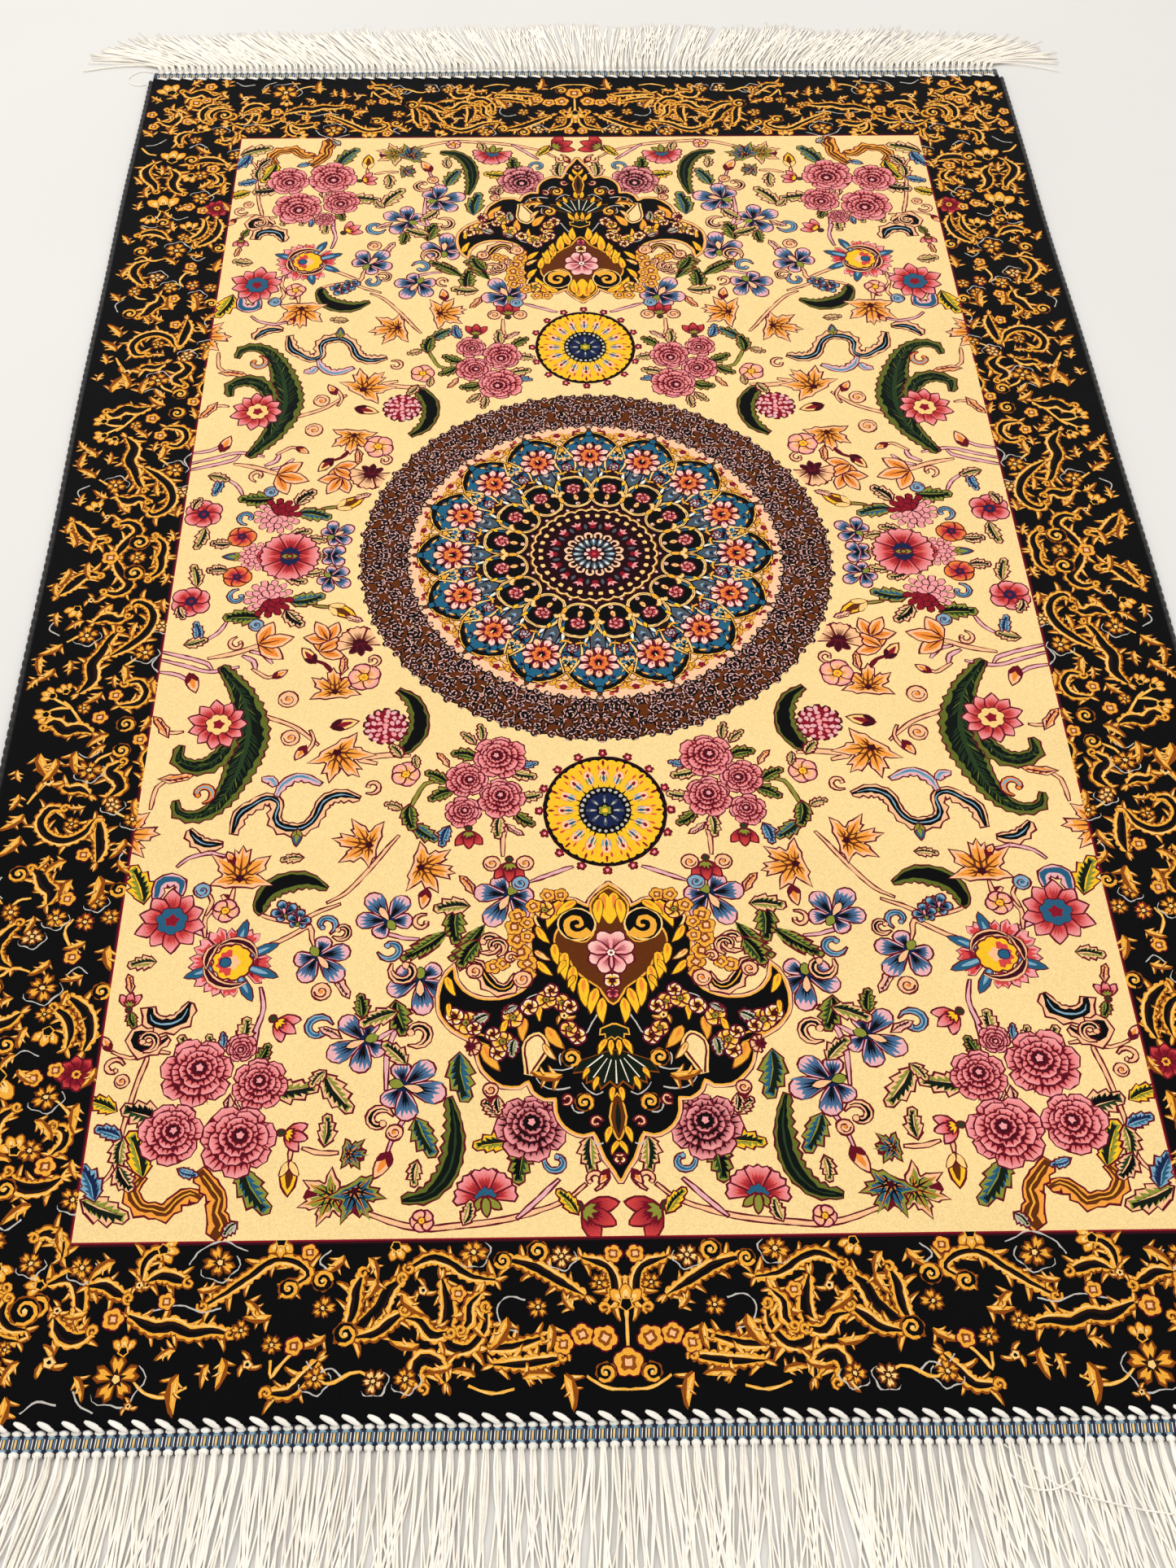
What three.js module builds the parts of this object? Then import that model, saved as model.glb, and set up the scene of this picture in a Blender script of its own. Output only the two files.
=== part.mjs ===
// Turkish silk rug lying flat: a knotted silk pile cloth with overcast sides and, at each end,
// a narrow woven web from which the warp hangs out as a fringe of knotted bunches.
// Millimetres, +Z up. The origin is on the floor under the middle of the rug, +Y runs to the far end.
import * as THREE from 'three';

// Knotted cloth: foundation and cut pile together
const pile = { halfWidth: 395.7, halfLength: 611, thickness: 4, easedEdge: 0.6, outlineStep: 26 };

// The right side of the rug is longer than the left one, by this much at each end
const rightSideExtra = 4;

// Slow waves that the edges have from the loom, each a sum of a long and a short one
const sideWave = { longHeight: 0.8, longLength: 118, shortHeight: 0.4, shortLength: 43 };
const endWave = { longHeight: 0.7, longLength: 97, shortHeight: 0.3, shortLength: 37 };

// Gap between pieces that touch in the real rug
const seam = 0.3;

// Overcast side cord: a rib where the binding thread is full, a dip between two turns
const selvedge = { ribs: 100, ribWidth: 4.3, dipWidth: 3.5, ribHeight: 3.9, dipHeight: 3.2, roundOff: 0.9 };

// Woven end web, and the bunches of warp that are knotted along its outer edge
const web = { halfWidth: 396, depth: 13.4, thickness: 2.4 };
const bunch = { count: 132, pitch: 5.95, pathSteps: 24, bendWithin: 0.22, roomShare: 0.78 };

// Section of a bunch along its length: a bead knot at the web, a neck, a full middle and a thin tip
const bunchSections = [
  { along: 0.00, width: 4.2, height: 2.4 },
  { along: 0.04, width: 4.8, height: 3.4 },
  { along: 0.10, width: 3.6, height: 2.6 },
  { along: 0.50, width: 4.4, height: 2.8 },
  { along: 1.00, width: 2.2, height: 1.2 },
];

// How the bunches lie, read along the web seen from outside the rug's end: place across the web
// from -1 to 1, lean from straight out, further curl towards the tip, and length
const farLay = [
  { place: -1.000, lean: -70, curl: -14, length: 85 },
  { place: -0.965, lean: -59, curl: -10, length: 88 },
  { place: -0.930, lean: -51, curl: -6, length: 89 },
  { place: -0.800, lean: -42, curl: -4, length: 85 },
  { place: -0.600, lean: -35, curl: -3, length: 84 },
  { place: -0.400, lean: -29, curl: -2, length: 83 },
  { place: -0.200, lean: -22, curl: 2, length: 84 },
  { place: 0.000, lean: -6, curl: 5, length: 84 },
  { place: 0.200, lean: 12, curl: 4, length: 84 },
  { place: 0.400, lean: 22, curl: 5, length: 84 },
  { place: 0.600, lean: 30, curl: 6, length: 83 },
  { place: 0.800, lean: 40, curl: 8, length: 87 },
  { place: 0.930, lean: 50, curl: 10, length: 89 },
  { place: 0.965, lean: 59, curl: 14, length: 88 },
  { place: 1.000, lean: 70, curl: 20, length: 85 },
];
const nearLay = [
  { place: -1.000, lean: -38, curl: -6, length: 80 },
  { place: -0.900, lean: -20, curl: -4, length: 83 },
  { place: -0.600, lean: -7, curl: 0, length: 84 },
  { place: 0.000, lean: 1, curl: 0, length: 84 },
  { place: 0.600, lean: 6, curl: 0, length: 84 },
  { place: 0.900, lean: 17, curl: 4, length: 83 },
  { place: 1.000, lean: 34, curl: 8, length: 80 },
];
const uneven = { length: 3.2, lean: 0.5 };

function wave(size, at, shift) {
  const long = size.longHeight * Math.sin(at / size.longLength + shift);
  const short = size.shortHeight * Math.sin(at / size.shortLength + 2.3 * shift);
  return long + short;
}

// Distance of the pile's side edge from the middle line; side is 1 on the right and -1 on the left
function sideReach(y, side) {
  return pile.halfWidth + wave(sideWave, y, side);
}

// Distance of the pile's end edge from the middle line; end is 1 for the far end and -1 for the near one
function endReach(x, end) {
  return pile.halfLength + (rightSideExtra * x) / pile.halfWidth + wave(endWave, x, 1.4 * end);
}

function meshOf(name, geometry, material) {
  geometry.computeVertexNormals();
  const mesh = new THREE.Mesh(geometry, material);
  mesh.name = name;
  return mesh;
}

// Collects points and outward triangles of one closed body
class Body {
  constructor() {
    this.points = [];
    this.faces = [];
  }

  point(x, y, z) {
    return this.points.push(new THREE.Vector3(x, y, z)) - 1;
  }

  triangle(a, b, c) {
    this.faces.push(a, b, c);
  }

  quad(a, b, c, d) {
    this.triangle(a, b, c);
    this.triangle(a, c, d);
  }

  geometry() {
    const geometry = new THREE.BufferGeometry().setFromPoints(this.points);
    geometry.setIndex(this.faces);
    return geometry;
  }
}

// A point of the side edge; t runs from 0 at the near corner to 1 at the far corner
function sidePoint(t, side) {
  const corner = side * pile.halfWidth;
  const y = THREE.MathUtils.lerp(-endReach(corner, -1), endReach(corner, 1), t);
  return new THREE.Vector2(side * sideReach(y, side), y);
}

// A point of the end edge; t runs from 0 at the left corner to 1 at the right corner
function endPoint(t, end) {
  const left = sidePoint((end + 1) / 2, -1);
  const right = sidePoint((end + 1) / 2, 1);
  const x = THREE.MathUtils.lerp(left.x, right.x, t);
  const edge = THREE.MathUtils.clamp(x, -pile.halfWidth, pile.halfWidth);
  return new THREE.Vector2(x, end * endReach(edge, end));
}

// The pile cloth: its uneven outline, extruded, with the rims eased
function pileCloth(material) {
  const across = Math.round((2 * pile.halfWidth) / pile.outlineStep);
  const along = Math.round((2 * pile.halfLength) / pile.outlineStep);
  const outline = [];
  for (let i = 0; i < across; i++) outline.push(endPoint(i / across, -1));
  for (let i = 0; i < along; i++) outline.push(sidePoint(i / along, 1));
  for (let i = across; i > 0; i--) outline.push(endPoint(i / across, 1));
  for (let i = along; i > 0; i--) outline.push(sidePoint(i / along, -1));
  const geometry = new THREE.ExtrudeGeometry(new THREE.Shape(outline), {
    depth: pile.thickness - 2 * pile.easedEdge,
    bevelEnabled: true,
    bevelThickness: pile.easedEdge,
    bevelSize: pile.easedEdge,
    bevelOffset: -pile.easedEdge,
    bevelSegments: 1,
  });
  geometry.translate(0, 0, pile.easedEdge);
  return meshOf('pile_cloth', geometry, material);
}

// One overcast side: a low cord along the pile's edge, ribbed by the turns of its binding
function sideCord(name, side, material) {
  const body = new Body();
  const last = 2 * selvedge.ribs;
  let before = null;
  for (let i = 0; i <= last; i++) {
    const rib = i % 2 === 1;
    const edge = sidePoint(i / last, side);
    const y = edge.y;
    const inner = Math.abs(edge.x) + seam;
    const width = rib ? selvedge.ribWidth : selvedge.dipWidth;
    const height = rib ? selvedge.ribHeight : selvedge.dipHeight;
    const section = [
      body.point(side * inner, y, 0),
      body.point(side * (inner + width), y, 0),
      body.point(side * (inner + width - selvedge.roundOff), y, height - selvedge.roundOff),
      body.point(side * inner, y, height),
    ];
    if (side < 0) section.reverse();
    if (before) {
      section.forEach((corner, k) => {
        const next = (k + 1) % section.length;
        body.quad(before[k], corner, section[next], before[next]);
      });
    } else {
      body.quad(section[0], section[1], section[2], section[3]);
    }
    before = section;
  }
  body.quad(before[3], before[2], before[1], before[0]);
  return meshOf(name, body.geometry(), material);
}

// Value of a column between two rows of a lay table
function layAt(lay, place, column) {
  const after = Math.max(1, lay.findIndex((row) => row.place >= place));
  const [a, b] = [lay[after - 1], lay[after]];
  return THREE.MathUtils.mapLinear(place, a.place, b.place, a[column], b[column]);
}

// Small steady unevenness from -1 to 1 for bunch number i
function unevenness(i, kind) {
  return Math.sin(i * 12.9898 + kind * 78.233);
}

// Middle line of one bunch as a list of steps with the heading at each
function bunchPath(lay, i, rootX, rootY) {
  const place = THREE.MathUtils.clamp((2 * i) / (bunch.count - 1) - 1, -1, 1);
  const lean = THREE.MathUtils.degToRad(layAt(lay, place, 'lean') + uneven.lean * unevenness(i, 1));
  const curl = THREE.MathUtils.degToRad(layAt(lay, place, 'curl'));
  const length = layAt(lay, place, 'length') + uneven.length * (unevenness(i, 2) - 1);
  const path = [{ x: rootX, y: rootY, heading: 0, walked: 0 }];
  const step = length / bunch.pathSteps;
  for (let k = 1; k <= bunch.pathSteps; k++) {
    const along = k / bunch.pathSteps;
    const bend = THREE.MathUtils.smoothstep(along, 0, bunch.bendWithin);
    const heading = lean * bend + curl * along;
    const from = path[k - 1];
    const middle = (from.heading + heading) / 2;
    path.push({
      x: from.x + step * Math.sin(middle),
      y: from.y + step * Math.cos(middle),
      heading,
      walked: along * length,
    });
  }
  return path;
}

// Width that a bunch may take at a step, so that it stays apart from its neighbours
function roomAt(lay, i, step) {
  const place = (2 * i) / (bunch.count - 1) - 1;
  const gap = 1 / (bunch.count - 1);
  const low = layAt(lay, Math.max(-1, place - gap), 'lean');
  const high = layAt(lay, Math.min(1, place + gap), 'lean');
  const spread = Math.max(0, THREE.MathUtils.degToRad(high - low)) * step.walked;
  return bunch.roomShare * (bunch.pitch * Math.cos(step.heading) + spread);
}

// One end: the web strip with its bunches growing out of the outer edge, as one body.
// It is drawn for the far end. The near end is the same, turned half round on the floor.
function endWeb(name, end, lay, material) {
  const body = new Body();
  const innerY = (x) => endReach(end * x, end) + seam;
  const outerY = (x) => innerY(x) + web.depth;
  const firstX = (-bunch.pitch * (bunch.count - 1)) / 2;
  const column = (x) => ({
    innerLow: body.point(x, innerY(x), 0),
    innerHigh: body.point(x, innerY(x), web.thickness),
    outerHigh: body.point(x, outerY(x), web.thickness),
  });

  const start = { ...column(-web.halfWidth) };
  start.lowLeft = body.point(-web.halfWidth, outerY(-web.halfWidth), 0);
  start.lowRight = start.lowLeft;
  const roots = [start];
  for (let i = 0; i < bunch.count; i++) {
    const x = firstX + i * bunch.pitch;
    const root = column(x);
    const half = bunchSections[0].width / 2;
    root.lowLeft = body.point(x - half, outerY(x), 0);
    root.lowRight = body.point(x + half, outerY(x), 0);
    growBunch(body, lay, i, x, outerY(x), root);
    body.triangle(root.innerLow, root.lowLeft, root.lowRight);
    roots.push(root);
  }
  const stop = { ...column(web.halfWidth) };
  stop.lowLeft = body.point(web.halfWidth, outerY(web.halfWidth), 0);
  stop.lowRight = stop.lowLeft;
  roots.push(stop);

  for (let i = 1; i < roots.length; i++) {
    const [a, b] = [roots[i - 1], roots[i]];
    body.quad(a.innerHigh, b.innerHigh, b.outerHigh, a.outerHigh);
    body.quad(a.innerLow, a.lowRight, b.lowLeft, b.innerLow);
    body.quad(a.innerLow, b.innerLow, b.innerHigh, a.innerHigh);
    body.quad(b.lowLeft, a.lowRight, a.outerHigh, b.outerHigh);
  }
  body.quad(start.innerLow, start.innerHigh, start.outerHigh, start.lowLeft);
  body.quad(stop.innerLow, stop.lowRight, stop.outerHigh, stop.innerHigh);

  const mesh = meshOf(name, body.geometry(), material);
  if (end < 0) mesh.rotation.z = Math.PI;
  return mesh;
}

// Three-sided bunch lying level on the floor, from its root on the web to its tip
function growBunch(body, lay, i, x, y, root) {
  const path = bunchPath(lay, i, x, y);
  let before = [root.lowLeft, root.lowRight, root.outerHigh];
  for (const section of bunchSections.slice(1)) {
    const step = path[Math.round(section.along * bunch.pathSteps)];
    const half = Math.min(section.width, roomAt(lay, i, step)) / 2;
    const sideX = half * Math.cos(step.heading);
    const sideY = -half * Math.sin(step.heading);
    const next = [
      body.point(step.x - sideX, step.y - sideY, 0),
      body.point(step.x + sideX, step.y + sideY, 0),
      body.point(step.x, step.y, section.height),
    ];
    for (let k = 0; k < 3; k++) {
      const other = (k + 1) % 3;
      body.quad(before[k], next[k], next[other], before[other]);
    }
    before = next;
  }
  body.triangle(before[0], before[2], before[1]);
}

const silkPile = new THREE.MeshStandardMaterial({ color: 0x8a5a44, roughness: 0.45, metalness: 0 });
const blackBinding = new THREE.MeshStandardMaterial({ color: 0x0d0a0b, roughness: 0.55, metalness: 0 });
const whiteWarp = new THREE.MeshStandardMaterial({ color: 0xece2d4, roughness: 0.6, metalness: 0 });

const group = new THREE.Group();
group.add(pileCloth(silkPile));
group.add(sideCord('side_cord_left', -1, blackBinding));
group.add(sideCord('side_cord_right', 1, blackBinding));
group.add(endWeb('end_fringe_far', 1, farLay, whiteWarp));
group.add(endWeb('end_fringe_near', -1, nearLay, whiteWarp));

export default group;
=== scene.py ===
import cmath
import math
import random

import bpy
import numpy as np
from mathutils import Matrix, Vector
from mathutils.geometry import delaunay_2d_cdt, tessellate_polygon


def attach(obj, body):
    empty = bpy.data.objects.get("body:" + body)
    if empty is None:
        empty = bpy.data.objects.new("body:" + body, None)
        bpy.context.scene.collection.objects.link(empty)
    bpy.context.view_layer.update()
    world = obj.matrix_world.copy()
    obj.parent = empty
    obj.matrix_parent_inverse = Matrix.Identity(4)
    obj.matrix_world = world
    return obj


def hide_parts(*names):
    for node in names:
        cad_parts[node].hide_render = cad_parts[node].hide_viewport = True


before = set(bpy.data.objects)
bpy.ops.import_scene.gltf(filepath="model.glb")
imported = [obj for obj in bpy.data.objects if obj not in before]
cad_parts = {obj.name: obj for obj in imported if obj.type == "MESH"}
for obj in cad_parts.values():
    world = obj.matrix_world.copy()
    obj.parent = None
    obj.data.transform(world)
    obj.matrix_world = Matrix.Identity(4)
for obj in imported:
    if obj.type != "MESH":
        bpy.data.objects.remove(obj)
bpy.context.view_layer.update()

print("frame loaded:", ", ".join(sorted(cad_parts)))

# Dyes of the silk, as red, green and blue from 0 to 255
dyes = {
    "cream": (251, 217, 152),
    "black": (6, 5, 7),
    "maroon": (100, 14, 30),
    "gold": (243, 172, 58),
    "lightGold": (252, 208, 128),
    "yellow": (252, 194, 40),
    "rust": (142, 72, 18),
    "brown": (98, 46, 12),
    "peach": (250, 192, 142),
    "pink": (244, 158, 158),
    "palePink": (250, 205, 190),
    "palePeach": (252, 200, 158),
    "lilac": (236, 176, 178),
    "coral": (214, 70, 66),
    "crimson": (138, 18, 36),
    "wine": (60, 8, 22),
    "maroonBlack": (34, 5, 12),
    "brownBlack": (34, 16, 14),
    "orange": (240, 138, 50),
    "teal": (38, 92, 122),
    "blue": (34, 96, 126),
    "slate": (78, 84, 92),
    "navy": (22, 34, 72),
    "paleBlue": (128, 168, 190),
    "olive": (138, 142, 52),
    "green": (38, 60, 30),
    "darkGreen": (16, 26, 16),
    "silver": (196, 190, 182),
    "white": (252, 240, 218),
    "warp": (253, 247, 236),
    "steelBlue": (92, 134, 172),
    "dustyPink": (226, 172, 166),
    "amber": (246, 160, 62),
    "darkLeaf": (10, 17, 13),
    "darkOlive": (96, 106, 36),
}

# Shapes are arrays of complex numbers in mm: across the rug, and along it


def turned(degrees):
    return cmath.exp(1j * math.radians(degrees))


def smooth(knots, gap=1.8, closed=False):  # a curve through a few knots, a point for each gap of it
    p = np.asarray(knots, complex)
    if closed:
        p = np.concatenate([p[-1:], p, p[:2]])
    else:
        p = np.concatenate([[2 * p[0] - p[1]], p, [2 * p[-1] - p[-2]]])
    parts = []
    for a, b, c, d in zip(p, p[1:], p[2:], p[3:]):
        steps = max(2, round(abs(c - b) / gap))
        t = np.arange(steps) / steps
        parts.append(b + 0.5 * t * (c - a + t * (2 * a - 5 * b + 4 * c - d + t * (3 * b - a - 3 * c + d))))
    if not closed:
        parts.append(p[-2:-1])
    return np.concatenate(parts)


def shareAlong(path):  # how far each point of a path is along it, from 0 to 1
    run = np.concatenate([[0], np.cumsum(abs(np.diff(path)))])
    return run / run[-1]


def ribbon(path, widths):  # a band along a path, its widths spread evenly from start to end
    share = shareAlong(path)
    half = np.interp(share, np.linspace(0, 1, len(widths)), widths) / 2
    ahead = np.gradient(path)
    side = 1j * ahead / np.maximum(abs(ahead), 1e-9) * half
    return np.concatenate([path - side, (path + side)[::-1]])


def spiral(r, turns=1.2, inner=0.3, steps=14):  # a path that winds in to the middle, from r on the right
    share = np.linspace(0, 1, steps)
    return r * (1 - (1 - inner) * share) * np.exp(2j * np.pi * turns * share)


def area(shape):
    return 0.5 * (shape.conj() * np.roll(shape, -1)).imag.sum()


def grow(shape, width):  # the outline moved out, or in where the width is negative
    shape = shape[abs(np.roll(shape, -1) - shape) > 1e-4]
    if area(shape) < 0:
        shape = shape[::-1]
    edge = np.roll(shape, -1) - shape
    out = -1j * edge / abs(edge)
    corner = out + np.roll(out, 1)
    moved = shape + width * corner / np.maximum(abs(corner) ** 2 / 2, 0.5)
    reach = moved[:, None] - shape[None, :]
    share = np.clip((reach * edge.conj()).real / abs(edge) ** 2, 0, 1)
    near = abs(reach - share * edge).min(1)
    kept = moved[near > 0.93 * abs(width)]
    return kept if len(kept) > 2 else moved


def bent(shape, length, degrees):  # a straight shape laid along an arc that turns by so many degrees
    if abs(degrees) < 1:
        return shape
    rate = math.radians(degrees) / length
    turn = np.exp(1j * rate * shape.real)
    return (turn - 1) / (1j * rate) + 1j * shape.imag * turn


def disc(r, steps=10):
    return r * np.exp(2j * np.pi * np.arange(steps) / steps)


def lobed(r, lobes, depth=0.15, perLobe=4):  # a round with scalloped edge
    share = np.arange(lobes * perLobe) / perLobe
    return r * (1 - depth + depth * abs(np.sin(np.pi * share))) * np.exp(2j * np.pi * share / lobes)


def petal(length, width, peak=0.62, blunt=0.6, steps=5):  # from 0 to its tip at length
    share = (1 - np.cos(np.linspace(0, np.pi, steps + 2)[1:-1])) / 2
    half = width / 2 * np.sin(np.pi * share ** (math.log(0.5) / math.log(peak))) ** blunt
    side = length * share
    return np.concatenate([[0], side - 1j * half, [length], (side + 1j * half)[::-1]])


def fan(near, far, spread, bumps=2, dip=0.1):  # a broad petal with a wavy top
    turns = np.radians(spread) * np.linspace(-0.5, 0.5, 2 * bumps + 1)
    wave = np.where(np.arange(2 * bumps + 1) % 2, 1, 1 - dip)
    top = far * wave * np.exp(1j * turns)
    foot = near * np.exp(0.4j * np.radians(spread) * np.array([1, -1]))
    return np.concatenate([foot[1:], top, foot[:1]])


chance = random.Random(7)  # makes the hatching as uneven as knotting by hand does


def crown(near, far, spread, spikes=3, depth=0.35):  # a spiky fan, the hatching of a petal
    count = 2 * spikes + 1
    turns = np.radians(spread) * np.linspace(-0.5, 0.5, count)
    reach = np.array([far * (chance.uniform(0.85, 1.05) if k % 2 else 1 - depth) for k in range(count)])
    foot = near * np.exp(0.35j * np.radians(spread) * np.array([1, -1]))
    return np.concatenate([foot[1:], np.maximum(reach, near + 0.2) * np.exp(1j * turns), foot[:1]])


def edged(shape, dye, rim="maroon", width=1.1):
    return [(grow(shape, width), rim), (shape, dye)]


def faded(near, far, inner, outer, centre=0):  # a dye that goes over into another one away from a centre
    return near, far, complex(centre), complex(centre + inner), complex(centre + outer)


def laid(layers, at=0, heading=0):  # turned, and moved to its place
    put = lambda shape: at + turned(heading) * shape
    dyeing = lambda dye: dye if isinstance(dye, str) else dye[:2] + tuple(map(put, dye[2:]))
    return [(put(shape), dyeing(dye)) for shape, dye in layers]


# Leaves and flowers, each pointing along +x with its middle near 0


def sawFan(size, wide, teeth, spread, start=0.03, end=0.92):  # the hatched middle of a leaf
    share = np.linspace(start, end, 2 * teeth + 3)
    full = size * wide / 2 * np.sin(np.pi * np.clip(share, 0, 1) ** 0.75) ** 0.7
    step = (end - start) / (2 * teeth + 2) * 1.3
    halves = []
    for side in (-1j, 1j):
        spikes = np.array([chance.uniform(0.8, 1.0) if k % 2 else 0.42 for k in range(len(share))])
        halves.append(size * (share + step * (spikes > 0.6)) + side * full * spikes * spread)
    return np.concatenate([halves[0], halves[1][::-1]])


def leaf(size, wide=0.42, edge="peach", body="olive", shade="darkGreen", teeth=3, bend=20):
    # toothed, its rim pale, its one half nearly black with hatching
    bend = bend * chance.uniform(0.7, 1.7)
    wide = wide * chance.uniform(0.95, 1.2)
    share = np.linspace(0, 1, 2 * teeth + 3)[1:-1]
    tooth = ((1.05, 1.25), (0.7, 0.85))
    halves = []
    for side in (-1j, 1j):
        uneven = np.array([chance.uniform(*tooth[k % 2]) for k in range(len(share))])
        half = size * wide / 2 * np.sin(np.pi * share ** 0.75) ** 0.7 * uneven
        halves.append(size * (share + np.where(np.arange(len(share)) % 2, -0.03, 0.06)) + side * half)
    outline = np.concatenate([[0], halves[0], [size], halves[1][::-1]])
    layers = edged(bent(outline, size, bend), edge)
    layers.append((bent(sawFan(size, wide, teeth + 2, 0.9), size, bend), body))
    dark = sawFan(size, wide, teeth + 3, 0.84, 0.0, 0.88)
    side = 1 if bend > 0 else -1
    dark = dark.real + 1j * np.where(dark.imag * side > 0, 0.34 * dark.imag, dark.imag)
    layers.append((bent(dark, size, bend), shade))
    vein = np.array([0.1, 0.4, 0.78]) * size + 0.05j * side * size * wide
    layers.append((bent(ribbon(vein, (0.4, 0.8, 0.3)), size, bend), edge))
    return laid(layers, -0.5 * size)


def maple(size, body="amber", edge="peach", shade="brown"):
    points = ((0, 1), (6, 0.74), (13, 0.8), (19, 0.5), (27, 0.42), (33, 0.66), (39, 0.68), (47, 0.95),
              (56, 0.66), (65, 0.64), (72, 0.4), (84, 0.44), (93, 0.58), (104, 0.76), (112, 0.5),
              (128, 0.42), (146, 0.26))  # degrees from the tip, and reach
    half = np.array([reach * turned(angle) for angle, reach in points]) * size
    outline = np.concatenate([half[1:].conj()[::-1], half])
    outline = outline * np.array([chance.uniform(0.9, 1.08) for point in outline])
    layers = edged(outline, edge)
    layers.append((outline * 0.8 + 0.03 * size, body))
    for angle, reach in ((102, 0.5), (-102, 0.5), (47, 0.74), (-47, 0.74), (0, 0.84)):
        path = np.array([0, 0.5 * reach, reach]) * size * turned(angle)
        layers.append((ribbon(path, (0.16 * size, 0.08 * size, 0.2)), "orange"))
    for angle, reach in ((102, 0.4), (-102, 0.4), (47, 0.62), (-47, 0.62), (0, 0.72)):
        path = np.array([0, 0.5 * reach, reach]) * size * turned(angle)
        layers.append((ribbon(path, (0.1 * size, 0.05 * size, 0.2)), shade))
        for side in (-1, 1):
            twig = np.array([0.3 * reach, 0.52 * reach * turned(side * 22), 0.8 * reach * turned(side * 17)])
            layers.append((ribbon(twig * size * turned(angle), (0.045 * size, 0.045 * size, 0.2)), shade))
    layers.append((lobed(0.13 * size, 5, 0.3, 2), "wine"))
    return laid(layers, -0.35 * size)


def iris(size, light="lilac", body="steelBlue", dark="navy", throat="peach"):
    layers = []
    petals = ((-120, 0.8, 0.56), (118, 0.75, 0.55), (-64, 1.1, 0.62), (60, 1.1, 0.62), (0, 1.28, 0.66))
    for angle, reach, wide in petals:
        one = edged(petal(reach * size, wide * size, 0.72, 0.5, 6), light)
        fading = faded(dark, body, 0.4 * size, 0.9 * reach * size)
        one.append((crown(0.16 * size, 0.93 * reach * size, 44, 5, 0.24), fading))
        one.append((crown(0.1 * size, 0.74 * reach * size, 22, 3, 0.4), "black"))
        layers += laid(one, heading=angle + chance.uniform(-6, 6))
    layers.append((lobed(0.24 * size, 5, 0.3, 2), dark))
    layers += edged(petal(0.62 * size, 0.24 * size, 0.6, 0.8), throat, "black", 0.6)
    layers += laid(edged(petal(0.42 * size, 0.3 * size, 0.5), "olive", "black", 0.6), heading=176)
    return laid(layers, -0.42 * size)


def lily(size):
    layers = []
    for angle, reach in ((-52, 1.2), (52, 1.2), (0, 1.35)):
        one = edged(petal(reach * size, 0.66 * size, 0.5, 0.9, 4), "peach")
        one.append((petal(0.86 * reach * size, 0.42 * size, 0.48, 0.9, 3), "orange"))
        one.append((ribbon(np.linspace(0.05, 0.62, 4) * reach * size + 0j, (1.6, 0.9, 0.3)), "brown"))
        layers += laid(one, heading=angle)
    return laid(layers, -0.6 * size)


def ruffled(r, lobes, depth=0.14, ruffles=3):  # a wavy round of petals, each with a few ruffles
    points = []
    for k in range(lobes):
        reach = r * chance.uniform(0.94, 1.04)
        start, wide = 2 * math.pi * (k + chance.uniform(-0.08, 0.08)) / lobes, 2 * math.pi / lobes
        for j in range(2 * ruffles):
            swell = 1 - depth + depth * abs(math.sin(math.pi * j / (2 * ruffles))) ** 0.5
            spot = cmath.exp(1j * (start + wide * j / (2 * ruffles)))
            points.append(reach * swell * (0.97 if j % 2 == 0 else 1) * spot)
    return np.array(points)


def burst(near, far, spikes):  # strokes of uneven length that run out from a ring
    points = []
    for k in range(spikes):
        tip = near + (far - near) * chance.uniform(0.35, 1.05)
        for reach, at in ((near, k - 0.3), (tip, k), (near, k + 0.3)):
            points.append(reach * turned(360 * at / spikes))
    return np.array(points)


def rose(size, light="pink", body="coral", dark="crimson", deep="wine"):
    layers = []
    lean = chance.uniform(-60, 60)
    rounds = ((1.0, 7, 30, 0), (0.76, 6, 24, 0.06), (0.54, 5, 17, 0.11), (0.33, 4, 11, 0.15))
    for scale, lobes, spikes, drop in rounds:
        r = scale * size
        outline = ruffled(r, lobes, 0.16)
        one = edged(outline, faded(body, light, 0.66 * r, 0.93 * r), "maroon", 0.9)
        for k in range(lobes if scale > 0.6 else 0):
            fold = outline[6 * k] / abs(outline[6 * k]) * np.array([0.82, 0.7 + 0.06j, 0.58 + 0.16j]) * r
            one.append((ribbon(fold, (1.0, 0.8, 0.4)), "maroon"))
        one.append((burst(0.7 * r, 1.0 * r, spikes), faded(deep, dark, 0.62 * r, 0.86 * r)))
        layers += laid(one, drop * size * turned(180 + lean), lean + 200 * scale)
    heart = edged(lobed(0.12 * size, 5, 0.3, 2), "pink", deep, 0.7)
    return layers + laid(heart, 0.17 * size * turned(180 + lean))


def peony(size, light="pink", body="coral", dark="crimson", heart="navy", calyx="olive"):  # from its side
    layers = []
    for angle in (-74, 74, -40, 40, 0):
        one = edged(fan(0.3 * size, 1.35 * size, 50, 3, 0.08), faded(body, light, 0.8 * size, 1.3 * size))
        one.append((crown(0.3 * size, 1.05 * size, 36, 4, 0.26), faded(dark, body, 0.5 * size, 1.1 * size)))
        layers += laid(one, heading=angle)
    layers += edged(crown(0.1, 0.5 * size, 190, 5, 0.2), heart, "maroon", 0.6)
    for angle in (-130, 130, 180):
        layers += laid(edged(petal(0.8 * size, 0.34 * size, 0.45), calyx), heading=angle)
    return laid(layers, -0.4 * size)


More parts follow.
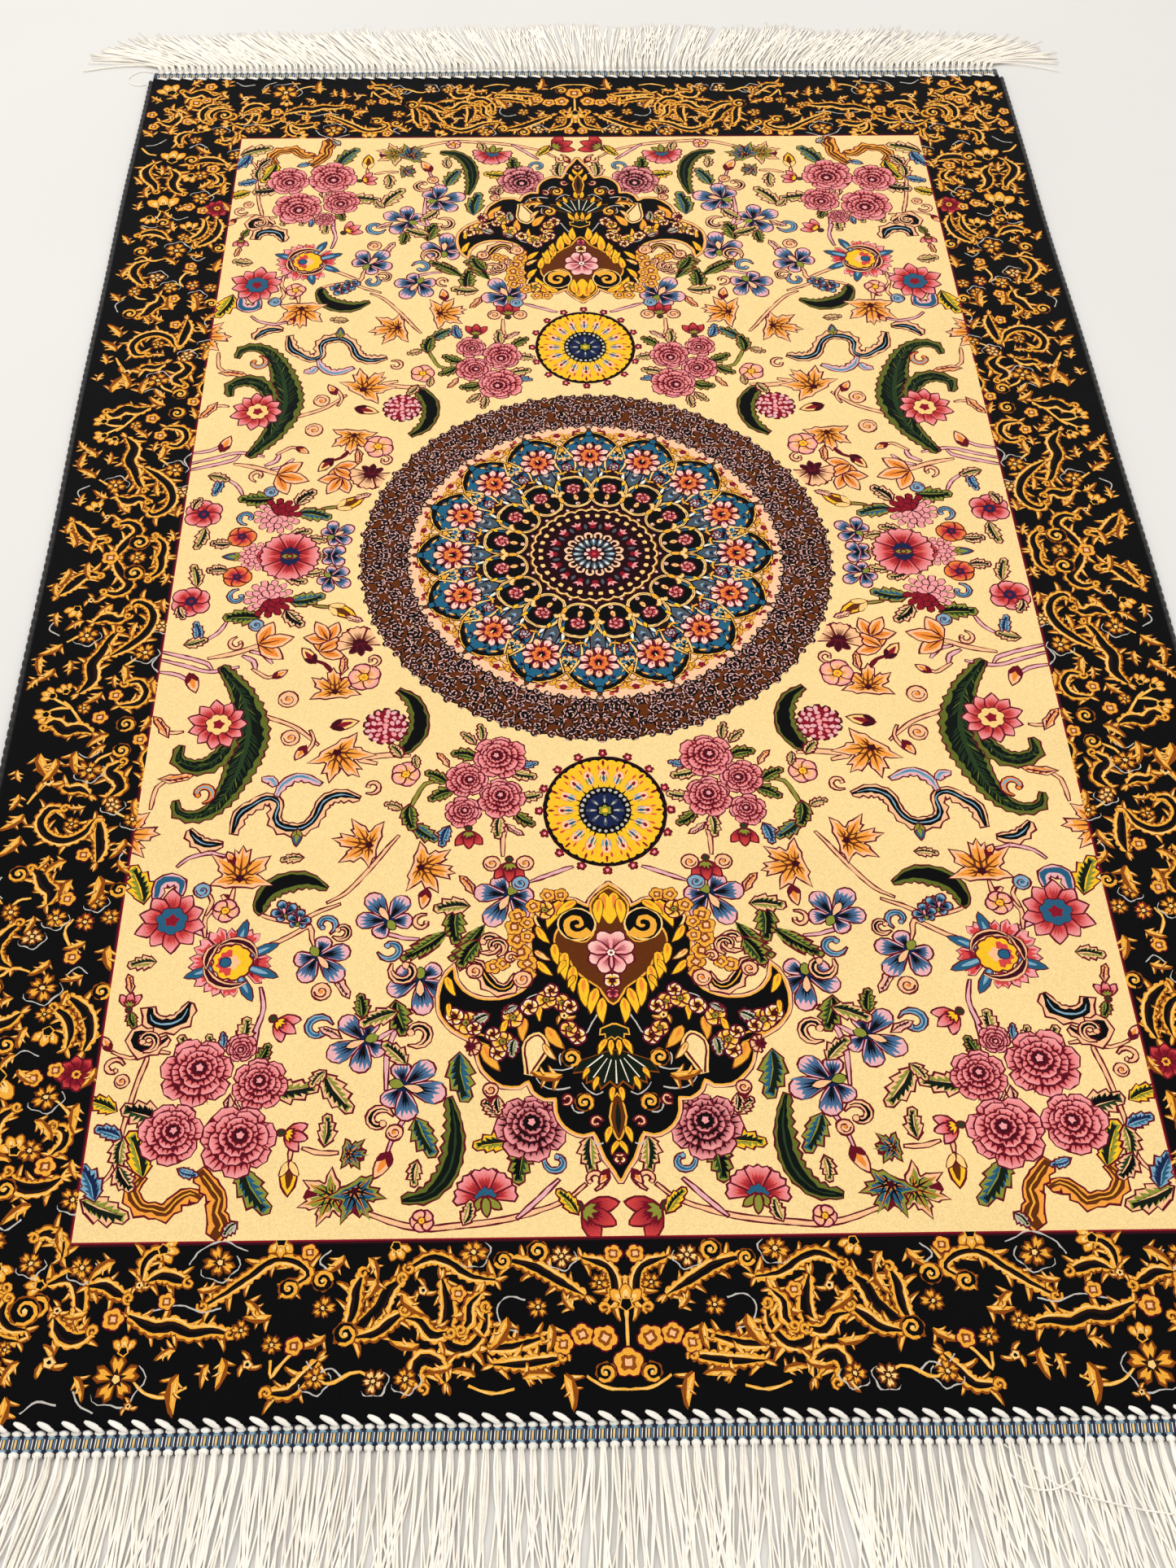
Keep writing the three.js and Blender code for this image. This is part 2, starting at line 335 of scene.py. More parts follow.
def daisy(size, petals=9, light="pink", body="coral", dark="crimson", heart="yellow", eye=0.34, point=0.8):
    wide = 2.35 * size * 0.62 * math.tan(math.pi / petals)
    layers = []
    for k in range(petals):
        reach = size * chance.uniform(0.9, 1.06)
        one = edged(petal(reach, wide, 0.66, point), faded(body, light, 0.6 * reach, 0.95 * reach))
        shade = crown(0.2 * size, 0.78 * reach, 210 / petals, 3, 0.25)
        one.append((shade, faded(dark, body, 0.3 * size, 0.8 * reach)))
        layers += laid(one, heading=360 * k / petals + 8)
    layers += edged(lobed(eye * size, 7, 0.18, 3), heart, "maroon", 0.7)
    layers.append((lobed(eye * 0.5 * size, 5, 0.3, 2), dark))
    return layers


def mum(size, light="pink", dark="crimson", deep="wine"):  # a full flower of many narrow petals
    layers = []
    for far, count in ((1.0, 13), (0.74, 11), (0.48, 8)):
        for k in range(count):
            angle = 360 * (k + 0.5 * (count % 3)) / count
            shade = light if math.cos(math.radians(angle)) * far > -0.28 else dark
            one = edged(petal(0.46 * size, 0.3 * size, 0.66, 0.6, 3), shade, deep, 0.6)
            layers += laid(one, (far - 0.46) * size * turned(angle), angle)
    return layers


def tulip(size, light="pink", body="coral", dark="crimson", calyx="olive"):
    layers = []
    for angle in (-38, 38, 0):
        one = edged(petal(1.1 * size, 0.5 * size, 0.55, 0.8), faded(body, light, 0.4 * size, 1.05 * size))
        one.append((crown(0.1, 0.7 * size, 30, 3, 0.3), faded(dark, body, 0.3 * size, 0.7 * size)))
        layers += laid(one, heading=angle)
    layers += edged(crown(0.1, 0.46 * size, 120, 4, 0.4), calyx)
    layers += laid(edged(petal(0.34 * size, 0.3 * size, 0.6), "green"), heading=180)
    return laid(layers, -0.35 * size)


def bud(size, body="orange", shade="crimson", calyx="olive", light=None):
    layers = edged(petal(size, 0.44 * size, 0.5, 0.85), light or body)
    inner = petal(0.74 * size, 0.24 * size, 0.5, 0.9, 3) + 0.1 * size
    layers.append((inner, shade if light is None else body))
    for angle in (-30, 30):
        layers += laid(edged(petal(0.5 * size, 0.2 * size, 0.5), calyx, width=0.6), heading=angle)
    return laid(layers, -0.45 * size)


def hook(size, thick=0.34, body="peach", core=None):  # a curl with a round end
    path, wide = spiral(size, 0.8, 0.42, 11), thick * size
    layers = edged(ribbon(path, (0.3, wide, wide, 0.8 * thick * size)), body)
    layers += edged(path[-1] + disc(0.5 * thick * size, 6), body, width=0.6)
    if core:
        layers.append((ribbon(path[1:-1], (0.2, 0.5 * thick * size, 0.4 * thick * size)), core))
    return layers


def snail(size, body="peach", core="orange"):
    layers = edged(disc(size, 12), body)
    layers.append((ribbon(spiral(0.8 * size, 1.3, 0.15, 14), (0.9, 0.9, 0.8)), "maroon"))
    layers.append((disc(0.26 * size, 6), core))
    return layers


def berries(size):
    layers = edged(lobed(size, 13, 0.2, 3), "crimson", "wine")
    for far, count in ((0.84, 14), (0.58, 10), (0.33, 6), (0.08, 2)):
        for k in range(count):
            at = far * size * turned(360 * (k + 0.5 * (count % 4)) / count + chance.uniform(-6, 6))
            seed = petal(0.3 * size, 0.22 * size, 0.6, 0.6, 3) - 0.15 * size
            seed = at + seed * turned(chance.uniform(0, 360))
            layers.append((seed, "lilac" if chance.random() < 0.7 else "pink"))
    return layers


def stem(path, width, body):
    curve = smooth(path, 4.0)
    return edged(ribbon(curve, (0.4 * width, width, width, width, 0.4 * width)), body, width=0.9)


def sickle(path, widths, body, edge, core=None):
    # a long curved leaf: a dark body with a feathered core, a pale saw edge on its left, and an outline
    curve = smooth(path, 3.4)
    share = shareAlong(curve)
    half = np.interp(share, np.linspace(0, 1, len(widths)), widths) / 2
    ahead = np.gradient(curve)
    side = 1j * ahead / abs(ahead)
    spots = range(len(curve))
    saw = np.array([chance.uniform(0.7, 1.2) * 2.2 if k % 2 else 0.1 for k in spots])
    saw = saw * np.minimum(1, half / 2)
    other = np.array([chance.uniform(0.3, 1.0) if k % 2 else 0.0 for k in spots])
    other = other * np.minimum(1, half / 3)
    outline = np.concatenate([curve - side * (half + 0.5 + other), (curve + side * (half + 1.0 + saw))[::-1]])
    ragged = np.array([chance.uniform(0.72, 1.0) for k in spots])
    inner = np.concatenate([curve - side * half * ragged, (curve + side * half * ragged)[::-1]])
    layers = edged(outline, edge) + [(inner, body)]
    if core:
        layers.append((ribbon(curve[1:-1], tuple(0.16 * w for w in widths)), core))
    if core and max(widths) > 9:  # strokes that slant on from the middle to the edges
        for k in range(2, len(curve) - 3):
            for turn in (-1, 1):
                if half[k] > 2.6 and chance.random() < 0.85:
                    away = ahead[k] / abs(ahead[k]) * turned(turn * chance.uniform(28, 44))
                    stroke = curve[k] + away * np.array([0.1, 0.6, 1.0]) * chance.uniform(0.9, 1.25) * half[k]
                    layers.append((ribbon(stroke, (0.3, 1.0, 0.3)), core if chance.random() < 0.75 else edge))
    return layers


def lumpy(path, widths, height, lump=4.4):  # a band whose two sides swell in round lumps
    curve = smooth(path, lump / 4)
    run = np.concatenate([[0], np.cumsum(abs(np.diff(curve)))])
    half = np.interp(run / run[-1], np.linspace(0, 1, len(widths)), widths) / 2
    ahead = np.gradient(curve)
    side = 1j * ahead / abs(ahead)
    left = half + height * abs(np.sin(np.pi * run / lump)) ** 0.6
    right = half + height * abs(np.sin(np.pi * (run / lump + 0.4))) ** 0.6
    return np.concatenate([curve - side * left, (curve + side * right)[::-1]])


def plume(size, wide=0.3, bend=34, shade="rust"):  # a bent gold leaflet, browned on one side
    half = math.radians(abs(bend) + 1) / 2
    length = size * math.radians(abs(bend) + 1) / (2 * math.sin(half))
    lit = math.copysign(0.16, bend) * wide * size * 1j
    line = np.array([0.16, 0.45, 0.72]) * size + math.copysign(0.17, bend) * wide * size * 1j
    return [(bent(petal(size, wide * size, 0.38, 0.75, 3), length, bend), shade),
            (bent(petal(0.94 * size, 0.62 * wide * size, 0.4, 0.8, 2) + lit, length, bend), "gold"),
            (ribbon(bent(line, length, bend), (0.3, 0.9, 0.3)), "lightGold")]


def goldArm(path, widths):  # a dark body with a lumpy gold rim, and leaflets that spring from it
    plain = smooth(path, 3.0)
    widths = (0.4,) + tuple(0.7 * w for w in widths) + (1.0,)
    side = 1 if chance.random() < 0.5 else -1
    run = np.gradient(plain)
    lift = 0.55j * side * run / abs(run)
    share = shareAlong(plain)
    wide = np.interp(share, np.linspace(0, 1, len(widths)), widths)
    layers = []
    count = max(2, round(abs(np.diff(plain)).sum() / 6.5))
    for k in range(count):
        at = int((k + 0.4) / count * (len(plain) - 1))
        turn = (1 if k % 2 else -1) * side
        root = plain[at] + 0.35j * turn * wide[at] * run[at] / abs(run[at])
        aim = math.degrees(np.angle(run[at])) + turn * chance.uniform(24, 52)
        leaflet = plume(chance.uniform(9, 13.5), chance.uniform(0.26, 0.34), turn * chance.uniform(25, 60))
        layers += laid(leaflet, root, aim)
    layers += [(lumpy(path, tuple(w + 2.6 for w in widths), 2.0), "rust"),
               (lumpy(path, tuple(w + 1.3 for w in widths), 1.8) + lift.mean(), "gold"),
               (ribbon(plain, tuple(w + 0.2 for w in widths)), "brownBlack"),
               (ribbon(plain - lift, tuple(0.5 * w for w in widths)), "black"),
               (ribbon(plain + 1.15 * lift * (wide + 0.9), (0.3, 0.9, 0.8, 0.3)), "lightGold")]
    curl = spiral(3.4, 1.1, 0.25, 10)
    curl = (curl if chance.random() < 0.5 else curl.conj()) * turned(chance.uniform(0, 360)) + plain[-1]
    layers += [(ribbon(curl, (2.0, 2.8, 2.2)), "rust"), (ribbon(curl, (1.0, 1.7, 1.2)), "gold")]
    back = math.degrees(np.angle(plain[0] - plain[2]))
    layers += laid(plume(7.5, 0.42, 30 * side), plain[0], back + 12)
    return layers + laid(plume(6.5, 0.42, -30 * side), plain[0], back - 40)


def goldLine(path, width):  # a scroll of gold with a lighter middle
    curve = smooth(path, 3.0)
    light = ribbon(curve, (0.2, 0.4 * width, 0.2))
    return [(ribbon(curve, (0.7 * width, width, 0.7 * width)), "gold"), (light, "lightGold")]


def volute(size):
    path = spiral(size, 1.3, 0.12, 14)
    return [(lobed(1.18 * size, 7, 0.12, 3), "rust"), (disc(size, 12), "black"),
            (ribbon(path, (1.6, 2.1, 1.3)), "gold"),
            (disc(0.2 * size, 5), "lightGold")]


def goldRing(size):  # three leaflets in a whorl round a dark eye
    layers = []
    for k in range(3):
        layers += laid(plume(1.15 * size, 0.42, 66), 0.3 * size * turned(120 * k), 120 * k + 40)
    layers += edged(lobed(0.4 * size, 5, 0.25, 2), "lightGold", "rust", 0.6)
    return layers + [(disc(0.17 * size, 5), "black")]


def goldLeaf(size):  # a curved leaf with a few smaller ones along it
    side = chance.choice((-1, 1))
    leaflets = ((0.1, -38, 0.5, -46), (0.16, 40, 0.44, 50), (0.42, -34, 0.42, -44), (0, 0, 1.1, 40),
                (0.5, 52, 0.34, 44))
    layers = []
    for at, aim, reach, bend in leaflets:
        one = plume(reach * size * chance.uniform(0.85, 1.15), 0.31, side * bend)
        layers += laid(one, at * size * turned(14 * side), side * aim)
    return layers


def goldLump(size):
    return edged(lobed(size, 5, 0.2, 4), "gold", "maroon", 0.7) + [
        (lobed(0.62 * size, 4, 0.3, 3), "rust"), (lobed(0.34 * size, 4, 0.3, 2), "peach")]


def flame(size, wide=0.34, dye="yellow", rim="brown"):
    layers = edged(bent(petal(size, wide * size, 0.36, 0.8, 5), size, 26), dye, rim, 0.6)
    layers.append((bent(petal(0.5 * size, 0.12 * size, 0.4, 0.8, 3) + 0.05 * size, size, 26), "orange"))
    return laid(layers, -0.45 * size)


def ruffledGold(size, light="gold", dark="rust", thread=True):  # its petals partly in a silver thread
    curve = 1.12 * size * np.exp(1j * np.radians(np.linspace(20, 200, 14)))
    curve = curve * (1 + 0.1 * np.sin(np.arange(14) * 1.3))
    layers = [(ribbon(curve, (0.4, 0.9, 0.4)), "silver")] if thread else []
    lean = chance.uniform(0, 60)
    for k in range(5):
        reach = size * chance.uniform(0.72, 1.0)
        one = edged(fan(0.1 * size, reach, chance.uniform(46, 62), 2, 0.2), dark, "brown", 0.5)
        one.append((crown(0.12 * size, 0.92 * reach, 40, 2, 0.24), light))
        one.append((petal(0.5 * reach, 0.2 * size, 0.6, 0.8, 1), "brownBlack"))
        layers += laid(one, 0, 72 * k + lean)
    return layers + edged(lobed(0.26 * size, 5, 0.3, 1), "lightGold", "brownBlack", 0.5)


def bellFlower(size):  # three gold petals on a dark cup, seen from the side
    layers = []
    for angle in (-46, 46, 0):
        one = edged(petal(1.1 * size, 0.6 * size, 0.6, 0.7, 4), "gold", "rust", 0.7)
        one.append((petal(0.8 * size, 0.34 * size, 0.6, 0.8, 3), "lightGold"))
        one.append((crown(0.1, 0.6 * size, 26, 2, 0.4), "rust"))
        layers += laid(one, heading=angle)
    layers += edged(lobed(0.34 * size, 5, 0.2, 2), "black", "gold", 0.7)
    return laid(layers, -0.4 * size)


# Patterns, drawn for one quarter: across from the middle line, and along from the middle of the rug, in mm
kinds = {  # what draws each kind of motif, and the dyes and shares that it takes after its size
    "rose": (rose,), "darkRose": (rose, "pink", "crimson", "wine", "black"), "iris": (iris,),
    "smallIris": (iris, "paleBlue", "teal", "navy", "pink"), "lily": (lily,), "maple": (maple,),
    "tealMaple": (maple, "teal", "olive", "black"), "oliveMaple": (maple, "olive", "peach", "darkGreen"),
    "peony": (peony,), "carnation": (peony, "peach", "peach", "brown", "wine", "wine"),
    "fanFlower": (peony, "pink", "coral", "crimson", "teal", "olive"),
    "star": (daisy, 11, "pink", "coral", "crimson", "lightGold", 0.42, 1.0),
    "ringStar": (daisy, 10, "pink", "coral", "crimson", "teal", 0.46, 1.0),
    "orangeFlower": (daisy, 5, "orange", "coral", "crimson", "navy", 0.3, 0.5),
    "redFlower": (daisy, 6, "pink", "coral", "crimson", "navy", 0.3, 0.5),
    "pinkFlower": (daisy, 5, "pink", "peach", "orange", "yellow", 0.3, 0.5),
    "redStar": (daisy, 8, "coral", "crimson", "maroon", "gold", 0.26, 1.0),
    "cartoucheFlower": (daisy, 8, "palePink", "pink", "crimson", "white", 0.16, 0.6),
    "whiteFlower": (daisy, 5, "white", "yellow", "brown", "black", 0.3, 0.6),
    "yellowFlower": (daisy, 5, "lightGold", "yellow", "brown", "olive", 0.3, 0.5),
    "mum": (mum,), "pinkMum": (mum, "pink", "coral", "maroon"),
    "tulip": (tulip,), "redTulip": (tulip, "coral", "crimson", "wine", "olive"),
    "bell": (tulip, "pink", "coral", "coral", "yellow"),
    "orangeBud": (bud, "orange", "crimson", "maroon", "peach"),
    "yellowBud": (bud, "yellow", "brown", "lightGold"), "peachBud": (bud, "peach", "orange", "maroon"),
    "tealBud": (bud, "teal", "olive", "olive"), "wineBud": (bud, "lightGold", "crimson", "wine"),
    "oliveLeaf": (leaf,), "greenLeaf": (leaf, 0.46, "olive", "green", "black"),
    "darkLeaf": (leaf, 0.5, "peach", "green", "black"),
    "tealLeaf": (leaf, 0.44, "olive", "teal", "darkGreen"),
    "blueLeaf": (leaf, 0.4, "paleBlue", "teal", "navy"),
    "yellowLeaf": (leaf, 0.4, "yellow", "olive", "darkGreen"),
    "peachLeaf": (leaf, 0.3, "peach", "orange", "maroon", 1),
    "wineLeaf": (leaf, 0.3, "peach", "lilac", "wine", 1),
    "silverLeaf": (leaf, 0.5, "silver", "olive", "black"),
    "feather": (leaf, 0.24, "olive", "green", "black", 6, -14),
    "peachHook": (hook,), "orangeHook": (hook, 0.42, "orange", "paleBlue"),
    "blueHook": (hook, 0.4, "paleBlue", "teal"), "blackHook": (hook, 0.5, "peach", "black"),
    "snail": (snail,), "blueSnail": (snail, "paleBlue", "teal"), "berries": (berries,), "volute": (volute,),
    "goldRing": (goldRing,), "goldLeaf": (goldLeaf,), "goldLump": (goldLump,), "flame": (flame,),
    "goldFlame": (flame, 0.38, "gold", "rust"), "paleFlame": (flame, 0.3, "lightGold", "rust"),
    "bellFlower": (bellFlower,), "silverFlower": (ruffledGold,), "silverGold": (ruffledGold, "lightGold"),
    "goldFlower": (ruffledGold, "gold", "rust", False), "goldStar": (ruffledGold, "gold", "crimson", False),
}


def strewn(motifs):  # rows of a motif's kind, its place, its size and its heading
    layers = []
    for kind, at, size, *heading in motifs:
        draw, *ways = kinds[kind]
        layers += laid(draw(size, *ways), at, *heading)
    return layers


fieldMotifs = (  # kind, place, size, and heading where it is turned
    # corner bouquet
    ("greenLeaf", 207+401j, 15, -120), ("oliveLeaf", 239+394j, 14, -95), ("oliveLeaf", 254+395j, 17, -75),
    ("blueLeaf", 232+391j, 10, -95), ("oliveLeaf", 219+385j, 18, -105), ("oliveLeaf", 188+426j, 30, 172),
    ("darkLeaf", 275+436j, 25, -28), ("yellowLeaf", 299+430j, 20, -35), ("yellowLeaf", 273+462j, 30, -78),
    ("blueLeaf", 245+475j, 12, 150), ("tealLeaf", 209+487j, 32, 108), ("silverLeaf", 218+507j, 10, 40),
    ("wineLeaf", 226+434j, 14, 80), ("wineLeaf", 219+433j, 12, 110), ("rose", 221+396j, 9, -80),
    ("rose", 208+420j, 17, 150), ("rose", 218+455j, 22, 80), ("rose", 257+451j, 19, 60),
    ("rose", 246+412j, 22, 85),
    # round the corner bouquet
    ("bell", 198+381j, 13, 145), ("bell", 187+452j, 12, 165), ("yellowBud", 187+477j, 20, 90),
    ("oliveLeaf", 166+449j, 19, -100), ("oliveLeaf", 164+427j, 30, 118), ("oliveLeaf", 175+416j, 13, 42),
    ("tealMaple", 150+464j, 12, 175), ("oliveMaple", 168+491j, 20, 18), ("tealMaple", 146+492j, 20, 118),
    ("oliveLeaf", 290+497j, 30, 150), ("blueLeaf", 298+478j, 24, -78), ("oliveLeaf", 287+462j, 20, 75),
    ("blueLeaf", 293+448j, 17, -30), ("darkLeaf", 282+478j, 18, 110), ("peachBud", 302+393j, 10, -60),
    ("blackHook", 278+391j, 7, 80), ("snail", 290+417j, 4), ("peachHook", 296+408j, 6, 200),
    # composite flower and what surrounds it
    ("tulip", 292+365j, 9, -90), ("greenLeaf", 290+377j, 11, 95), ("peachLeaf", 293+352j, 12, -85),
    ("oliveLeaf", 288+337j, 17), ("ringStar", 273+308j, 22, 15), ("yellowLeaf", 295+280j, 30, -80),
    ("blueSnail", 256+286j, 5), ("pinkFlower", 240+301j, 8, 20), ("tealLeaf", 196+300j, 12, -60),
    ("smallIris", 203+301j, 8, -70), ("smallIris", 193+307j, 7, -100), ("snail", 176+359j, 5.5),
    ("wineLeaf", 164+356j, 17, 110), ("blueHook", 176+312j, 7, 120), ("blackHook", 166+317j, 6, 40),
    # irises and the leaves between them
    ("iris", 66+299j, 20, 62), ("iris", 141+303j, 18, -58), ("iris", 116+359j, 19, 92),
    ("iris", 155+395j, 19, 22), ("iris", 116+424j, 20, 165), ("iris", 175+340j, 18, 128),
    ("greenLeaf", 98+314j, 26, 78), ("oliveLeaf", 98+298j, 22, -8), ("peachLeaf", 87+283j, 15, -72),
    ("feather", 113+329j, 34, 42), ("feather", 86+327j, 32, 58), ("blackHook", 75+326j, 8, 60),
    ("peachHook", 116+311j, 6, 250), ("blueHook", 135+330j, 8, 20), ("orangeBud", 115+293j, 14, 80),
    ("oliveLeaf", 129+400j, 20, -52), ("greenLeaf", 130+378j, 24, 92), ("oliveLeaf", 141+376j, 24, 14),
    ("greenLeaf", 150+369j, 16, -92), ("blackHook", 117+388j, 9, 60), ("blackHook", 126+345j, 9, 330),
    ("tealLeaf", 93+417j, 32, 84), ("blueHook", 176+384j, 9, 200), ("wineLeaf", 168+386j, 14, -40),
    # end of the field
    ("tealLeaf", 112+455j, 26, 108), ("oliveLeaf", 117+476j, 15, 72), ("orangeBud", 134+470j, 17, 62),
    ("snail", 128+451j, 4.5), ("blackHook", 137+443j, 8, 200), ("fanFlower", 76+486j, 13, -86),
    ("oliveLeaf", 84+500j, 14, -120), ("redTulip", 16+501j, 18, 152), ("yellowLeaf", 29+493j, 18, -60),
    ("orangeBud", 9+481j, 9, 60), ("oliveLeaf", 18+466j, 22, 82), ("greenLeaf", 58+470j, 25, 62),
    ("yellowLeaf", 72+457j, 22, -4), ("darkLeaf", 72+436j, 13, -60), ("orangeBud", 73+428j, 10, -60),
    ("blueHook", 36+470j, 7, 330), ("darkRose", 50+449j, 21, 60), ("pinkFlower", 111+504j, 6),
    # open middle
    ("maple", 233+268j, 27, -90), ("maple", 171+186j, 27, 128), ("maple", 160+251j, 24, -12),
    ("maple", 110+272j, 24, 168), ("maple", 304+243j, 26, 180), ("maple", 182+119j, 22, -84),
    ("oliveLeaf", 201+262j, 14), ("peachHook", 152+207j, 6, 60), ("snail", 209+166j, 6),
    ("snail", 213+133j, 6.5), ("orangeHook", 264+211j, 8, 100), ("peachLeaf", 283+200j, 22, 175),
    ("peachLeaf", 297+155j, 20, -65), ("star", 259+154j, 21, 10), ("orangeBud", 201+178j, 12, 62),
    ("wineBud", 174+155j, 18, -165), ("tealBud", 199+246j, 12, 90), ("peachBud", 240+262j, 9, 300),
    ("oliveLeaf", 136+177j, 13, -70), ("berries", 145+157j, 15, 90), ("pinkFlower", 130+197j, 9, 100),
    ("oliveLeaf", 124+187j, 10, 90),
    # roses by the medallion
    ("oliveLeaf", 48+217j, 15, 170), ("greenLeaf", 53+235j, 16, 130), ("oliveLeaf", 70+240j, 17, 75),
    ("wineLeaf", 59+243j, 12, 130), ("oliveLeaf", 53+199j, 18, 155), ("blueLeaf", 49+191j, 12, 175),
    ("greenLeaf", 91+180j, 17, -30), ("oliveLeaf", 79+163j, 14, -100), ("oliveLeaf", 88+167j, 13, -60),
    ("greenLeaf", 107+212j, 18, 10), ("greenLeaf", 109+199j, 17, -40), ("blueLeaf", 105+246j, 16, 58),
    ("peachLeaf", 104+185j, 13, -70), ("rose", 67+217j, 16, 120), ("rose", 90+202j, 14),
    ("rose", 92+228j, 12, 90), ("rose", 68+184j, 18, 200), ("redTulip", 88+247j, 12, 92),
    ("redTulip", 62+272j, 13, 90), ("snail", 52+268j, 5), ("snail", 73+268j, 5),
    ("tealLeaf", 117+245j, 20, 130), ("greenLeaf", 128+232j, 20, 85), ("oliveLeaf", 137+222j, 12, -30),
    ("blueSnail", 55+283j, 5),
    # side bouquet
    ("oliveLeaf", 203+17j, 15, 180), ("oliveLeaf", 204+1j, 17, 180), ("iris", 186+23j, 13, 150),
    ("iris", 187-4j, 13, 200), ("tealLeaf", 206+44j, 26, 178), ("darkLeaf", 216+61j, 20, 120),
    ("greenLeaf", 252+57j, 26, -8), ("oliveLeaf", 216+24j, 16, 150), ("blueSnail", 241+66j, 5),
    ("blueHook", 257+39j, 7, 270), ("mum", 234+41j, 18, -60), ("orangeFlower", 259+20j, 10, 30),
    ("darkLeaf", 274+12j, 15, -10), ("tealBud", 263, 14), ("pinkMum", 246, 14), ("peony", 222+8j, 16, 90),
    ("redFlower", 290+43j, 14, 20), ("oliveLeaf", 288+18j, 22, -85), ("darkLeaf", 297+54j, 13, 100),
    ("yellowBud", 181+53j, 22, 150), ("wineLeaf", 172+61j, 12, 150),
    # twigs from the border
    ("orangeBud", 281+117j, 17, 110), ("blueLeaf", 281+71j, 18, -90), ("oliveLeaf", 282+82j, 16, 190),
    ("lily", 227+81j, 18, 195), ("peachHook", 253+83j, 6, 280), ("peachBud", 221+111j, 11, 215),
    ("lily", 187+85j, 15, 215), ("lily", 193+73j, 14, -60), ("peachLeaf", 176+103j, 15, -100),
    ("carnation", 167+80j, 12, -80), ("wineBud", 201+95j, 16, -55), ("pinkFlower", 162+114j, 11, 60),
    ("peachHook", 156+99j, 5, 90),
)
fieldStems = (  # dye, width, and where each stem runs
    ("peach", 2, (300+487j, 288+472j, 286+452j, 283+432j, 280+415j, 277+401j, 287+402j, 298+398j)),
    ("peach", 1.6, (278+401j, 272+398j, 264+399j)), ("lilac", 2, (213+398j, 213+384j, 210+370j, 213+356j)),
    ("peach", 2.2, (180+460j, 170+463j, 160+463j)), ("peach", 1.8, (187+468j, 187+458j)),
    ("peach", 2.6, (163+490j, 137+501j, 113+508j, 90+507j, 61+503j, 33+494j, 20+484j)),
    ("lilac", 2.2, (58+503j, 46+492j, 35+481j)), ("lilac", 2, (132+464j, 128+452j, 120+436j, 124+425j)),
    ("lilac", 2.2, (134+424j, 134+400j, 129+384j, 122+372j), (131+385j, 142+392j, 152+391j)),
    ("peach", 2.2, (180+332j, 184+322j, 186+313j, 198+320j, 213+328j, 228+334j)),
    ("peach", 2, (176+296j, 165+289j, 155+277j, 147+266j, 139+254j, 133+246j), (168+297j, 180+302j,
     196+309j, 216+305j, 222+297j)), ("lilac", 1.8, (140+318j, 128+322j, 118+323j)),
    ("lilac", 2, (22+271j, 35+276j, 49+282j)), ("peach", 2, (66+262j, 66+250j, 64+240j)),
    ("olive", 2, (108+203j, 117+205j, 122+214j, 127+226j)),
    ("peach", 3.4, (150+188j, 162+184j, 140+181j, 128+182j)),
    ("peach", 2.2, (238+142j, 224+149j, 208+156j, 196+166j, 190+172j)),
    ("peach", 1.6, (196+160j, 193+168j, 196+176j, 201+182j)), ("peach", 2, (297+223j, 295+206j, 288+200j)),
    ("peach", 1.8, (283+160j, 290+161j, 298+159j)), ("lilac", 2.4, (305+90j, 288+95j, 272+101j, 268+108j)),
    ("lilac", 2.2, (305+97j, 286+103j, 270+108j, 250+104j)), ("lilac", 2, (305+108j, 291+111j, 283+117j)),
    ("peach", 3, (272+96j, 255+92j, 240+86j, 228+82j)), ("lilac", 2.6, (248+94j, 240+99j, 238+106j)),
    ("lilac", 2.4, (243+90j, 233+93j, 227+101j)), ("peach", 1.8, (240+106j, 228+114j, 220+109j)),
    ("lilac", 2, (262+62j, 267+72j, 276+80j)), ("olive", 1.8, (188+50j, 196+49j, 201+48j)),
    ("lilac", 2, (207+20j, 212+8j, 214)), ("maroon", 1.6, (186+128j, 184+112j, 190+102j, 197+99j)),
    ("lilac", 2.2, (245+321j, 258+315j, 266+312j)),
    ("peach", 2.2, (251+320j, 252+306j, 246+300j, 240+305j)),
    ("peach", 1.6, (252+304j, 249+294j, 253+287j)), ("peach", 2.4, (243+290j, 238+296j, 236+285j)),
    ("lilac", 1.8, (244+260j, 256+258j, 268+262j, 274+268j)),
)
